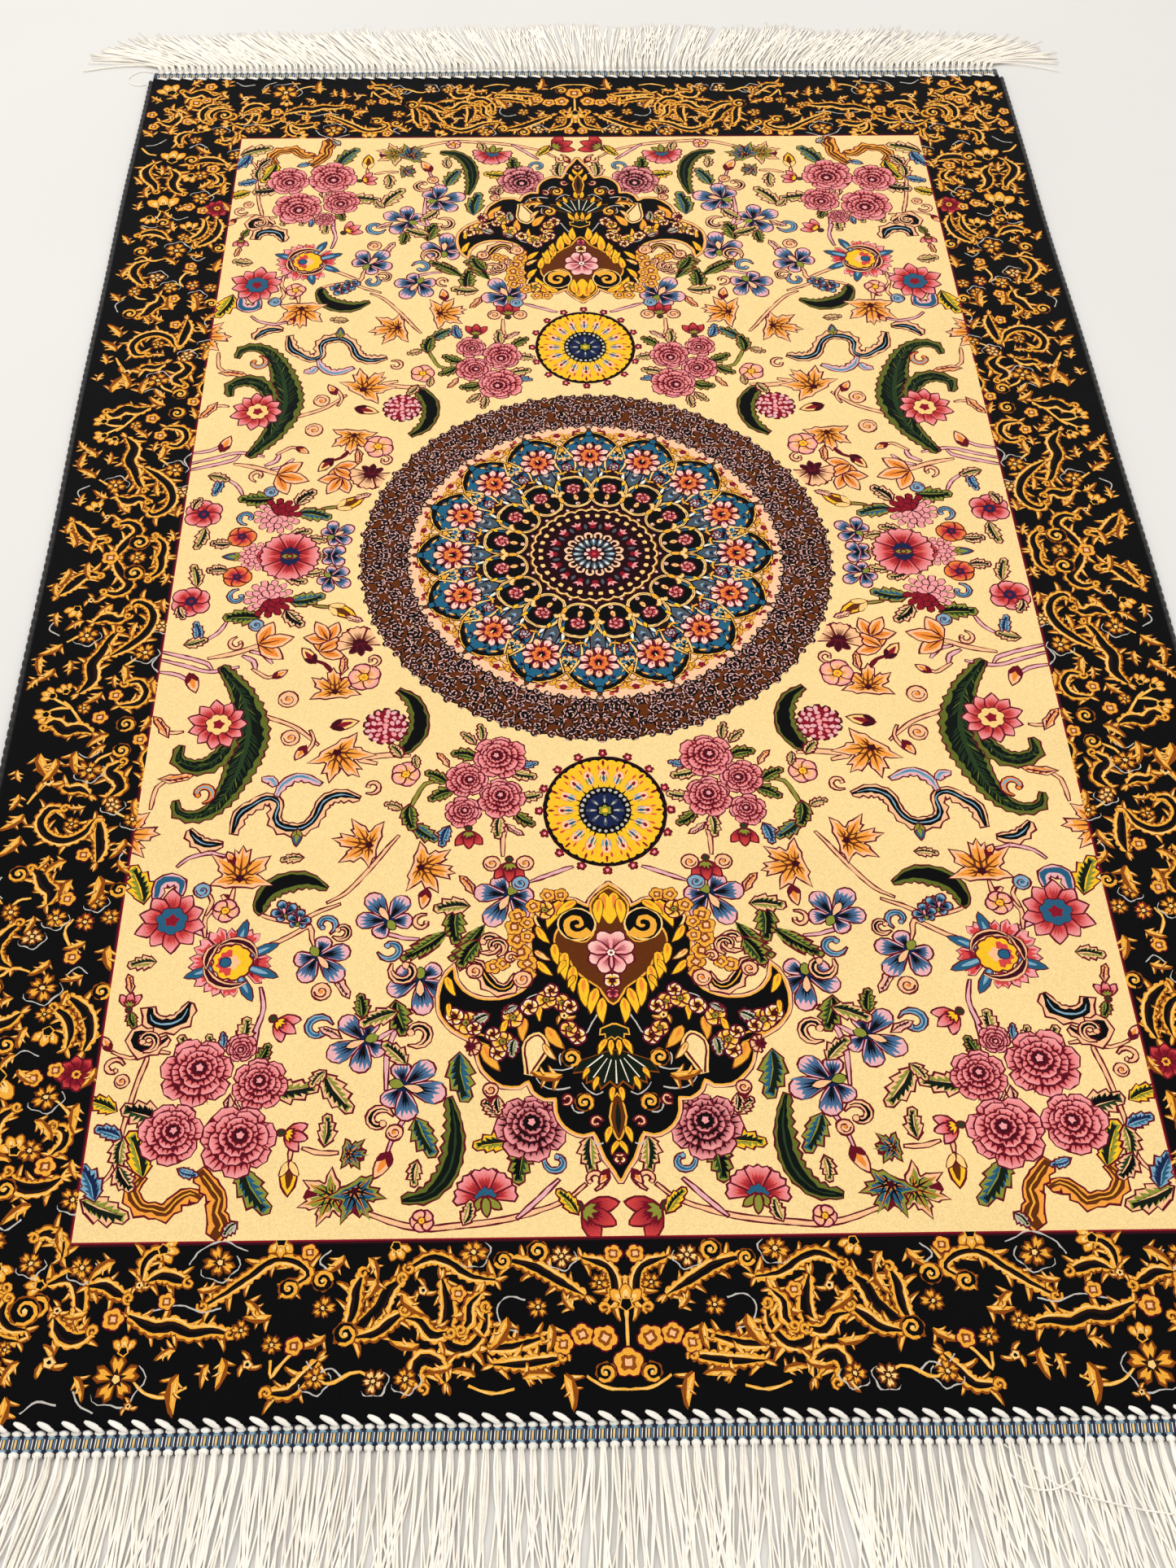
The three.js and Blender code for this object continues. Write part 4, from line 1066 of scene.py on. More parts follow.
def cartouchePattern():
    body, heart = smooth(cartoucheBody, 4.2), smooth(cartoucheHeart, 4.0)
    layers = [(grow(body, 3.0), "maroon"), (grow(body, 2.3), "peach"), (grow(body, 1.1), "gold")]
    layers.append((body, "black"))
    drop = petal(26, 11.0, 0.7, 0.66, 9) * turned(-103) + 51 + 416j
    layers += [(grow(drop, 2.6), "lightGold"), (grow(drop, 1.2), "maroon"), (drop, "cream")]
    layers += [(grow(heart, 1.9), "maroonBlack"), (grow(heart, 1.2), "gold"), (heart, "brown")]
    curl = spiral(9.2, 1.25, 0.08, 20).conj() * turned(150) + 20.5 + 313.5j
    layers += edged(disc(11, 20) + 20.5 + 313.5j, "black", "lightGold", 1.0)
    layers.append((ribbon(curl, (6, 5, 4, 3, 2)), "gold"))
    layers += edged(crown(4, 28, 130, 7, 0.2) * turned(90) + 398j, "darkGreen", "rust", 0.8)
    for turn in range(-3, 4):
        layers += [(ribbon(np.array([9, 24]) * turned(90 + 17 * turn) + 398j, (0.7, 0.7)), "white")]
    layers += edged(petal(28, 8.4, 0.5, 0.7, 5) * turned(90) + 429j, "brown", "gold", 0.8)
    layers += [(petal(20, 3.6, 0.5, 0.8, 4) * turned(90) + 433j, "darkGreen")]
    layers += edged(crown(2, 12, 120, 5, 0.25) * turned(90) + 382j, "darkGreen", "gold", 0.8)
    for dye, width, *paths in cartoucheLines:
        for path in paths:
            layers.append((ribbon(smooth(path, 3.0), (width, width)), dye))
    swirl = (58+349j, 62+357j, 68+358.5j, 74+354j, 77.5+347.5j, 80+341.5j, 87+340j, 93+342j)
    layers += sickle(swirl, (2, 4, 5, 6, 5, 3, 3, 2), "black", "peach", "gold")
    return layers + strewn(cartoucheMotifs)


borderArms = (  # widths between its ends, and where each gold-rimmed black arm runs
    # end border
    ((4, 4, 5, 5), (23+526j, 10+531j, 6+540j, 7+549j, 12+554j)),
    ((6, 6), (22+547j, 34+540j, 49+531j, 65+526j)), ((5, 4), (74+575j, 58+573j, 44+569j)),
    ((5, 5), (71+583j, 54+583j, 34+580j)), ((4, 5), (70+538j, 84+535j, 96+527j, 106+525j, 117+531j)),
    ((7, 8, 7, 5, 4), (99+537j, 95+552j, 96+564j, 94+573j, 84+574j, 76+564j, 75+552j)),
    ((4, 4), (78+545j, 84+552j, 84+560j, 88+565j)), ((5, 6), (118+558j, 110+560j, 104+567j, 94+566j)),
    ((8, 9, 8), (150+567j, 140+560j, 132+552j, 128+543j, 120+536j)),
    ((6, 6), (150+565j, 146+553j, 145+542j, 142+533j)), ((5, 6), (146+568j, 134+566j, 126+560j, 118+554j)),
    ((8, 9, 6), (96+592j, 100+583j, 108+580j, 112+586j, 108+595j)),
    ((4, 4), (183+541j, 172+534j, 178+527j, 191+525j, 204+534j, 218+544j, 228+550j)),
    ((6, 7), (260+536j, 252+533j, 244+535j, 237+537j)),
    ((7, 8, 7, 5), (268+554j, 253+561j, 243+560j, 234+564j, 222+563j, 212+565j)),
    ((4, 4), (263+535j, 263+526j, 258+520j, 251+519j)),
    ((7, 8, 6), (314+537j, 304+533j, 298+537j, 295+550j, 300+560j)),
    ((6, 6), (292+538j, 283+538j, 276+542j, 269+545j)),
    ((8, 9, 6), (308+555j, 302+564j, 294+566j, 286+562j)),
    ((5, 5), (164+580j, 170+588j, 178+596j, 190+596j)),
    # corner
    ((8, 10, 9), (330+585j, 338+580j, 348+588j, 358+583j, 366+590j)),
    ((6, 7, 5), (325+567j, 337+565j, 344+556j, 343+545j, 336+538j)),
    ((4, 5, 4), (322+561j, 331+559j, 336+552j, 334+544j)),
    ((8, 8, 5), (381+541j, 372+537j, 366+546j, 370+556j, 378+560j)),
    ((5, 6, 5), (351+524j, 359+520j, 361+512j, 358+504j)),
    ((5, 6), (309+522j, 310+514j, 318+508j, 326+511j)),
    # side border
    ((8, 9, 8), (316+476j, 324+481j, 334+482j, 343+478j, 346+471j)),
    ((7, 9, 8, 5), (362+468j, 357+459j, 359+448j, 355+438j, 347+432j)),
    ((8, 9, 7), (378+477j, 384+466j, 381+455j, 374+446j, 371+436j)),
    ((5, 5), (324+462j, 318+456j, 318+448j, 326+444j)),
    ((6, 8, 7), (315+397j, 313+385j, 317+372j, 324+364j, 330+360j)),
    ((4, 6, 5), (325+395j, 324+384j, 328+374j, 337+367j)),
    ((6, 7, 5), (355+371j, 361+377j, 370+379j, 380+374j)),
    ((7, 8, 6), (366+340j, 374+335j, 377+325j, 372+315j, 366+308j)),
    ((9, 10, 8), (352+295j, 350+286j, 356+280j, 360+272j, 366+268j)),
    ((7, 8, 7), (326+264j, 325+254j, 327+243j, 329+231j)),
    ((5, 6, 6, 6, 5), (332+231j, 338+242j, 349+247j, 360+243j, 366+233j, 362+222j, 352+222j)),
    ((8, 9, 7), (326+213j, 319+206j, 322+198j, 328+192j, 320+184j)),
    ((6, 6), (338+211j, 345+206j, 352+207j, 358+203j)), ((5, 5), (304+200j, 303+190j, 306+181j, 302+172j)),
    ((9, 10, 9), (343+160j, 353+156j, 362+158j, 370+151j, 376+155j)),
    ((5, 5, 4), (328+137j, 316+135j, 312+125j, 318+116j, 327+118j)),
    ((8, 10, 9, 7, 5), (357+126j, 350+114j, 352+101j, 347+90j, 343+78j, 337+68j)),
    ((6, 7, 7, 6, 5), (340+93j, 330+85j, 320+74j, 315+60j, 319+48j, 328+43j, 333+49j)),
    ((8, 9, 6), (356+62j, 348+57j, 340+60j, 333+56j)),
    ((7, 8, 7, 5), (352+4j, 342-6j, 330-10j, 318-2j, 316+12j, 324+22j)),
    ((7, 8, 6), (352-4j, 345+12j, 336+26j, 343+35j, 354+33j)),
    ((8, 9, 6), (384+36j, 378+28j, 372+20j, 365+16j, 358+18j)),
)
borderLines = (  # dye, width, and where each thin scroll runs
    ("silver", 0.9, (255+552j, 240+549j, 228+553j, 218+551j), (150+590j, 156+584j, 164+586j, 170+580j),
     (206+520j, 213+517j, 221+514j, 232+519j, 238+527j), (300+600j, 310+598j, 318+604j), (372+513j,
     380+505j, 389+503j), (334+500j, 342+506j, 350+500j), (368+401j, 362+391j, 368+385j, 378+388j),
     (340+400j, 349+396j, 356+402j), (320+345j, 326+340j, 333+346j), (306+270j, 312+262j, 309+254j),
     (380+290j, 386+283j, 383+274j), (336+176j, 343+181j, 350+177j), (306+108j, 311+101j, 308+94j),
     (378+74j, 386+68j, 383+60j), (54+549j, 63+547j, 69+553j, 66+563j, 58+566j), (160+520j, 166+526j,
     160+532j), (280+604j, 288+600j, 292+593j)),
    ("gold", 2, (134+591j, 141+586j, 149+588j, 157+592j, 164+589j), (189+579j, 188+588j, 183+581j,
     176+574j)), ("gold", 2.2, (576j, 560j, 1+545j, 536j)),
    ("gold", 2, (354+343j, 364+340j, 372+346j, 378+342j), (308+490j, 300+482j, 308+474j, 316+476j)),
    ("gold", 2.2, (392+500j, 386+492j, 378+489j)),
    ("gold", 2, (330+426j, 322+432j, 316+440j, 318+448j), (372+393j, 366+400j, 364+410j), (334+306j,
     338+314j, 334+324j, 326+330j), (350+303j, 344+310j, 336+308j), (376+300j, 370+292j, 362+290j),
     (310+231j, 318+226j, 324+220j), (341+191j, 336+182j, 326+176j), (366+133j, 360+139j, 352+152j),
     (378+144j, 370+139j, 360+139j), (376+128j, 369+133j, 360+139j), (318+90j, 324+97j, 330+104j, 328+116j),
     (372+80j, 364+74j, 358+66j), (262+587j, 255+594j, 244+597j, 232+592j), (84+594j, 72+598j, 60+596j),
     (22+590j, 12+596j, 597j), (365+200j, 372+208j, 377+218j)),
)
borderMotifs = (
    # end border
    ("goldLump", 583j, 8, 90), ("goldLump", 12+570j, 7, 60), ("goldLump", 24+568j, 6, 20),
    ("goldLump", 34+573j, 5.5), ("volute", 12+588j, 5, 40), ("goldLeaf", 40+562j, 16, 100),
    ("goldLeaf", 33+588j, 18, 120), ("goldLeaf", 80+589j, 14, -30), ("goldLeaf", 56+590j, 15, 200),
    ("bellFlower", 548j, 10, -90), ("goldFlower", 14+540j, 5.5), ("goldLump", 6+524j, 5),
    ("silverFlower", 82+522j, 8, 20), ("volute", 47+522j, 5.5, 100), ("volute", 66+527j, 4.6, 20),
    ("goldRing", 109+543j, 6.5), ("goldLeaf", 63+558j, 18, 80), ("silverGold", 34+525j, 7),
    ("goldFlower", 47+553j, 6), ("goldLeaf", 28+555j, 13, -40), ("goldLeaf", 121+545j, 16, 120),
    ("goldLeaf", 134+536j, 15, 80), ("goldLeaf", 152+523j, 16, 60), ("goldLeaf", 139+524j, 14, 130),
    ("bellFlower", 123+521j, 7.5, 120), ("goldLeaf", 110+573j, 14, 10), ("silverFlower", 117+590j, 7),
    ("silverGold", 134+591j, 7, 20), ("silverFlower", 165+589j, 7.5), ("volute", 150+566j, 6, 60),
    ("volute", 164+537j, 5.5, 180), ("goldFlower", 163+552j, 7, 30), ("goldLeaf", 160+567j, 15, 40),
    ("bellFlower", 188+518j, 8, 90), ("volute", 182+541j, 5.2, 40), ("goldLump", 172+521j, 4.6),
    ("silverFlower", 221+526j, 9.5), ("bellFlower", 250+519j, 8, 170), ("goldRing", 264+538j, 5.5),
    ("goldLeaf", 205+547j, 15, 150), ("goldLeaf", 232+541j, 14, 170), ("goldLeaf", 214+577j, 15, 100),
    ("goldLeaf", 222+580j, 12, 60), ("goldRing", 201+581j, 6.5), ("goldFlower", 189+571j, 6),
    ("goldLump", 177+572j, 5), ("goldLeaf", 190+556j, 16, 20), ("goldLeaf", 238+585j, 19, 70),
    ("silverFlower", 270+587j, 13, 10), ("goldRing", 262+601j, 4.5), ("bellFlower", 268+570j, 7, -90),
    ("silverFlower", 297+528j, 7.5), ("volute", 318+548j, 6, 90), ("bellFlower", 321+537j, 7),
    ("goldRing", 307+578j, 8.5), ("goldLeaf", 290+552j, 15, 30), ("goldLump", 276+556j, 6),
    ("goldLeaf", 279+524j, 15, 20), ("goldLeaf", 240+572j, 13, 10), ("goldLump", 248+547j, 4.6),
    ("goldLeaf", 292+585j, 14, 130), ("goldFlower", 206+563j, 5.5), ("goldLump", 90+545j, 4.6),
    ("goldLeaf", 92+583j, 14, 30),
    # corner
    ("goldLeaf", 371+577j, 20, 50), ("bellFlower", 379+592j, 13, 60), ("goldLeaf", 359+600j, 16, 150),
    ("goldLeaf", 326+595j, 18, 100), ("goldLump", 341+597j, 6), ("volute", 324+551j, 7.5, 60),
    ("goldLeaf", 358+558j, 19, 120), ("goldLump", 352+571j, 7), ("goldLeaf", 368+546j, 14, 80),
    ("goldLeaf", 383+573j, 15, 20), ("goldRing", 307+551j, 5.6), ("goldLump", 356+541j, 5.5),
    ("goldLeaf", 347+537j, 14, 60), ("bellFlower", 341+530j, 8, 120), ("goldLeaf", 370+520j, 18, 80),
    ("goldLeaf", 384+517j, 16, 60), ("silverFlower", 325+525j, 7), ("goldFlower", 346+512j, 6),
    ("goldLeaf", 312+505j, 13, 80), ("goldLump", 386+533j, 5), ("goldLeaf", 323+577j, 15, 40),
    ("goldLump", 343+575j, 5, 30), ("goldLeaf", 369+562j, 14, 200), ("goldLump", 390+552j, 5),
    ("goldFlower", 331+571j, 4.5),
    # side border
    ("silverFlower", 308+489j, 7.5), ("volute", 346+482j, 6), ("bellFlower", 363+487j, 13, 90),
    ("goldLeaf", 330+491j, 16, 20), ("goldLump", 326+469j, 6), ("goldFlower", 336+459j, 7.5),
    ("bellFlower", 346+456j, 9, -60), ("goldLeaf", 312+465j, 14, 90), ("goldLeaf", 369+459j, 16, 100),
    ("goldLeaf", 384+446j, 13, 70), ("goldLeaf", 336+440j, 15, 150), ("goldLeaf", 313+430j, 17, 70),
    ("silverFlower", 332+426j, 9), ("redStar", 317+412j, 11), ("goldLump", 329+409j, 5),
    ("goldLump", 341+414j, 5.5), ("bellFlower", 363+419j, 16, 80), ("goldLeaf", 378+427j, 17, 60),
    ("goldLeaf", 351+408j, 14, 120), ("goldLeaf", 384+409j, 14, 80), ("silverFlower", 345+354j, 10),
    ("bellFlower", 338+387j, 9, 80), ("goldLeaf", 353+398j, 14, 30), ("bellFlower", 373+396j, 8, -80),
    ("volute", 360+392j, 5.5), ("goldLeaf", 350+380j, 15, 60), ("goldLeaf", 306+408j, 13, 80),
    ("goldFlower", 341+372j, 5.5), ("volute", 374+353j, 5.5), ("volute", 310+357j, 5.5, 90),
    ("goldLeaf", 361+360j, 14, 20), ("goldLeaf", 385+362j, 14, 80), ("goldLeaf", 322+346j, 15, 30),
    ("goldLump", 331+333j, 5), ("goldLeaf", 343+335j, 15, 60), ("silverGold", 357+318j, 7.5),
    ("goldFlower", 312+305j, 7), ("silverFlower", 322+293j, 7), ("goldStar", 327+308j, 7.15),
    ("silverFlower", 345+305j, 7.5), ("goldFlower", 373+300j, 7), ("goldLeaf", 310+325j, 18, 80),
    ("goldLeaf", 386+318j, 16, 90), ("goldLeaf", 324+322j, 13, 40), ("goldLeaf", 358+303j, 12, 90),
    ("volute", 309+285j, 5.2), ("volute", 373+272j, 5.6), ("goldLeaf", 322+274j, 22, 100),
    ("goldLeaf", 340+276j, 18, 60), ("goldLeaf", 383+287j, 15, 70), ("goldLump", 340+291j, 5),
    ("goldLump", 335+258j, 5), ("goldLeaf", 313+262j, 14, 110), ("goldLeaf", 310+246j, 17, 80),
    ("goldLeaf", 345+262j, 15, 20), ("goldLeaf", 376+243j, 18, 70), ("goldLeaf", 377+226j, 18, 60),
    ("goldFlower", 346+234j, 6), ("silverFlower", 308+231j, 7), ("silverGold", 322+219j, 7),
    ("goldLeaf", 339+221j, 13, 20), ("goldLeaf", 356+258j, 12, 80), ("goldRing", 366+200j, 9),
    ("silverFlower", 341+191j, 9), ("goldLeaf", 383+210j, 15, 90), ("volute", 322+175j, 5.5),
    ("goldLeaf", 352+175j, 22, 80), ("goldLeaf", 376+177j, 23, 100), ("goldLeaf", 363+181j, 18, 90),
    ("goldLeaf", 308+214j, 15, 80), ("goldLeaf", 333+170j, 14, 30), ("goldLump", 311+166j, 5),
    ("goldLeaf", 388+190j, 12, 90), ("volute", 322+153j, 6, 60), ("goldLeaf", 332+161j, 16, 20),
    ("goldLump", 340+147j, 5.5), ("bellFlower", 379+145j, 7.5, 20), ("bellFlower", 377+127j, 7.5, -20),
    ("bellFlower", 367+122j, 6.5, -60), ("goldFlower", 352+139j, 5.5), ("goldLump", 332+128j, 5),
    ("goldLeaf", 341+125j, 15, 60), ("goldLeaf", 307+146j, 16, 90), ("goldLeaf", 376+104j, 17, 60),
    ("goldLeaf", 388+92j, 15, 80), ("goldLeaf", 367+96j, 15, 110), ("goldLeaf", 386+112j, 13, 40),
    ("silverFlower", 317+90j, 8.5), ("goldLeaf", 330+101j, 15, 120), ("goldLeaf", 308+114j, 12, 80),
    ("goldLeaf", 335+110j, 13, 80), ("silverGold", 307+66j, 6), ("silverFlower", 359+74j, 8.5),
    ("goldLeaf", 374+82j, 17, 50), ("bellFlower", 371+52j, 8, 60), ("goldLeaf", 383+52j, 14, 80),
    ("goldLeaf", 363+60j, 13, 20), ("goldRing", 361+41j, 6), ("goldLeaf", 310+40j, 15, 80),
    ("goldLeaf", 345+45j, 13, 30), ("goldLeaf", 380+10j, 18, 90), ("goldLeaf", 368+4j, 16, 80),
    ("volute", 334+15j, 7, 60), ("goldLump", 353, 6.5), ("goldFlower", 334, 6.5),
    ("goldLeaf", 309+16j, 14, 90), ("goldLeaf", 326+62j, 13, 60), ("goldLeaf", 388+24j, 13, 80),
)


def borderPattern():
    layers = [(None, "black")]
    for gap, dye in ((2.2, "wine"), (1.0, "crimson")):  # two lines round the field
        a, b = fieldWidth + gap, (fieldLength + gap) * 1j
        layers.append((np.array([-5, a, a + b, b - 5, -5]), dye))
    for widths, path in borderArms:
        layers += goldArm(path, widths)
    for dye, width, *paths in borderLines:
        for path in paths:
            if dye == "gold":
                layers += goldLine(path, width)
            else:
                layers.append((ribbon(smooth(path, 2.4), (width, width)), dye))
    return layers + strewn(borderMotifs)


# The pile: each part of the pattern is cut into triangles along its motifs and dyed, then warped to the rug

pile = {
    "height": 0.004,  # metres, as the other sizes from here on
    "easedEdge": 0.0006,
    "halfWidth": 0.3957,
    "halfLength": 0.611,
    "rightSideExtra": 0.004,  # the right side is a little longer
    "sideWave": (0.0008, 0.118, 0.0004, 0.043),
    "endWave": (0.0007, 0.097, 0.0003, 0.037),
    "rimSteps": 3,
}
quarterWidth, quarterLength = 395.7, 611.0  # the pattern's quarter, in mm
fieldWidth, fieldLength = 305.0, 514.0
medallionReach, fieldSplit = 174.0, 283.0
middleDrift = 6.0  # mm that the middle of the pattern lies to the left


def wave(size, at, shift):
    return size[0] * np.sin(at / size[1] + shift) + size[2] * np.sin(at / size[3] + 2.3 * shift)


def sideReach(y, side):
    return pile["halfWidth"] + wave(pile["sideWave"], y, side)


def endReach(x, end):
    extra = pile["rightSideExtra"] * x / pile["halfWidth"]
    return pile["halfLength"] + extra + wave(pile["endWave"], x, 1.4 * end)


def onRug(spots, side, end):  # from a quarter of the pattern, in mm, to the rug, in metres
    across, along = spots.real, spots.imag
    inField = np.clip(across / fieldWidth, 0, 1)
    inRows = np.clip(along / fieldLength, 0, 1)
    x0 = (side * np.minimum(across, fieldWidth) - middleDrift * (1 - inField ** 2)) / 1000
    y0 = (end * np.minimum(along, fieldLength) - 2 * (1 - inRows ** 2)) / 1000
    y0 = y0 * (1 + pile["rightSideExtra"] * x0 / pile["halfWidth"] / pile["halfLength"])
    outside = np.clip((across - fieldWidth) / (quarterWidth - fieldWidth), 0, 1)
    past = np.clip((along - fieldLength) / (quarterLength - fieldLength), 0, 1)
    x, y = x0, y0
    for turn in range(3):  # the edge in one direction depends on the place in the other
        x = x0 + outside * (side * sideReach(y, side) - x0)
        y = y0 + past * (end * endReach(x, end) - y0)
    return x, y


def unevenLine(shape):  # the small slips of hand knotting
    return shape + np.array([complex(chance.gauss(0, 0.16), chance.gauss(0, 0.16)) for spot in shape])


def cleaned(shape):
    shape = shape[abs(np.roll(shape, -1) - shape) > 0.02]
    if len(shape) < 3 or abs(area(shape)) < 0.02:
        return None
    if area(shape) < 0:
        shape = shape[::-1]
    return np.roll(shape, -int(np.argmax(shape.real)))


def within(shape, spots):  # which spots the outline winds round
    a, b = shape, np.roll(shape, -1)
    found = []
    for part in np.array_split(spots, 1 + len(spots) * len(shape) // 1000000):
        y = part.imag[:, None]
        left = ((b - a).conj() * (part[:, None] - a)).imag > 0
        up, down = (a.imag <= y) & (b.imag > y), (a.imag > y) & (b.imag <= y)
        found.append((up & left).sum(1) != (down & ~left).sum(1))
    return np.concatenate(found)


def extent(shape):
    return shape.real.min(), shape.real.max(), shape.imag.min(), shape.imag.max()


def planar(outline, layers):  # the pattern as triangles without overlap, each with the number of its dye
    shapes, shades, dyed = [outline], [0], [layers[0][1]]
    left, right, low, high = extent(outline)
    for shape, dye in layers[1:]:
        shape = cleaned(shape)
        if shape is None:
            continue
        a, b, c, d = extent(shape)
        if a > right or b < left or c > high or d < low:
            continue
        if dye not in dyed:
            dyed.append(dye)
        shapes.append(unevenLine(shape))
        shades.append(dyed.index(dye))
    sides, first = [], 0
    for shape in shapes:
        after = first + len(shape)
        sides += [(k, k + 1 if k + 1 < after else first) for k in range(first, after)]
        first = after
    points = [Vector((spot.real, spot.imag)) for spot in np.concatenate(shapes)]
    cut = delaunay_2d_cdt(points, sides, [], 0, 1e-4, False)
    corners = np.array([v[:] for v in cut[0]]) @ np.array([1, 1j])
    triangles = np.array(cut[2])
    middle = corners[triangles].mean(1)
    order = np.argsort(middle.real)
    across = middle.real[order]
    shade = np.full(len(triangles), -1)
    for k, shape in enumerate(shapes):  # each shape covers what lies below it
        left, right, low, high = extent(shape)
        near = order[slice(*np.searchsorted(across, (left, right)))]
        near = near[(middle[near].imag > low) & (middle[near].imag < high)]
        near = near[shade[near] >= 0] if k else near
        shade[near[within(shape, middle[near])]] = shades[k]
    return corners, triangles, shade, dyed


def simplified(corners, triangles, shade):  # keeps only the lines between two dyes, and cuts again along them
    sides = np.concatenate([triangles[:, [0, 1]], triangles[:, [1, 2]], triangles[:, [2, 0]]])
    dye = np.tile(shade, 3)
    left = {(a, b): d for (a, b), d in zip(sides.tolist(), dye.tolist())}
    lines = {}
    for (a, b), d in left.items():
        if d != left.get((b, a), -1):
            lines[a, b] = d
            lines[b, a] = left.get((b, a), -1)
    ahead = {}
    for a, b in lines:
        ahead.setdefault(a, set()).add(b)
    for spot in sorted(ahead):  # a corner on a straight line is left out
        if len(ahead[spot]) != 2:
            continue
        a, b = sorted(ahead[spot])
        reach = corners[b] - corners[a]
        off = abs(((corners[spot] - corners[a]) * reach.conjugate()).imag) / max(abs(reach), 1e-9)
        between = 0 < ((corners[spot] - corners[a]) * reach.conjugate()).real < abs(reach) ** 2
        onAxis = min(abs(corners[spot].real), abs(corners[spot].imag)) < 1e-6
        if off < 0.03 and between and b not in ahead[a] and not (onAxis and off > 1e-6):
            if min(corners[spot].real, corners[spot].imag) > 1e-6 and abs(reach) > 14:
                continue
            lines[a, b], lines[b, a] = lines[a, spot], lines[b, spot]
            for u, v in ((a, spot), (spot, b), (b, spot), (spot, a)):
                del lines[u, v]
            ahead[a] = ahead[a] - {spot} | {b}
            ahead[b] = ahead[b] - {spot} | {a}
            ahead[spot] = set()
    used = sorted(spot for spot in ahead if ahead[spot])
    number = {spot: k for k, spot in enumerate(used)}
    kept = [(a, b) for a, b in lines if a < b]
    points = [Vector((corners[spot].real, corners[spot].imag)) for spot in used]
    cut = delaunay_2d_cdt(points, [(number[a], number[b]) for a, b in kept], [], 0, 1e-6, True)
    newCorners = np.array([v[:] for v in cut[0]]) @ np.array([1, 1j])
    bars = {}  # the dye on the left of each kept line, in both directions
    for (u, v), ids in zip(cut[1], cut[4]):
        if ids:
            a, b = kept[ids[0]]
            if ((newCorners[v] - newCorners[u]) * (corners[b] - corners[a]).conjugate()).real < 0:
                a, b = b, a
            bars[u, v], bars[v, u] = lines[a, b], lines[b, a]
    faces = cut[2]
    neighbour = {(u, v): k for k, face in enumerate(faces) for u, v in zip(face, face[1:] + face[:1])}
    newShade = np.full(len(faces), -2)
    for first in range(len(faces)):  # a region between lines takes the dye that most of its rim asks for
        if newShade[first] > -2:
            continue
        newShade[first], region, votes, at = -1, [first], {}, 0
        while at < len(region):
            face = faces[region[at]]
            at += 1
            for u, v in zip(face, face[1:] + face[:1]):
                if (u, v) in bars:
                    votes[bars[u, v]] = votes.get(bars[u, v], 0) + abs(newCorners[u] - newCorners[v])
                    continue
                other = neighbour.get((v, u))
                if other is not None and newShade[other] == -2:
                    newShade[other] = -1
                    region.append(other)
        newShade[region] = max(votes, key=votes.get) if votes else -1
    inside = newShade >= 0
    return newCorners, np.array(faces)[inside], newShade[inside]


def linear(dye):
    share = np.array(dyes[dye]) / 255
    return np.where(share <= 0.04045, share / 12.92, ((share + 0.055) / 1.055) ** 2.4)


def dyedCorners(corners, triangles, shade, dyed):  # red, green and blue at the three corners of each triangle
    colours = np.zeros((len(triangles), 3, 3))
    for number, dye in enumerate(dyed):
        own = shade == number
        if not own.any():
            continue
        if isinstance(dye, str):
            colours[own] = linear(dye)
            continue
        near, far, centre, inner, outer = dye
        start, end = abs(inner - centre), abs(outer - centre)
        reach = abs(corners[triangles[own]] - centre)[..., None]
        share = np.clip((reach - start) / (end - start), 0, 1)
        colours[own] = (1 - share) * linear(near) + share * linear(far)
    return colours


def loopsOf(triangles):  # the rims of an open surface, each as a list of corners with the surface on its left
    sides = {}
    for a, b, c in triangles.tolist():
        for u, v in ((a, b), (b, c), (c, a)):
            if sides.pop((v, u), None) is None:
                sides[u, v] = True
    after = {}
    for u, v in sides:
        after.setdefault(u, []).append(v)
    loops = []
    while any(after.values()):
        here = next(u for u in after if after[u])
        loop = []
        while after.get(here):
            loop.append(here)
            here = after[here].pop()
        loops.append(loop)
    return loops


def meshed(name, points, triangles, colours, material, rounded):  # a piece with a dye at each face's corners
    mesh = bpy.data.meshes.new(name)
    mesh.from_pydata(points.tolist(), [], triangles.tolist())
    dyed = mesh.color_attributes.new("dye", "FLOAT_COLOR", "CORNER")
    values = np.ones((len(triangles), 3, 4), np.float32)
    values[:, :, :3] = colours
    dyed.data.foreach_set("color", values.ravel())
    mesh.materials.append(material)
    if rounded:
        mesh.polygons.foreach_set("use_smooth", [True] * len(triangles))
    piece = bpy.data.objects.new(name, mesh)
    bpy.context.collection.objects.link(piece)
    return piece


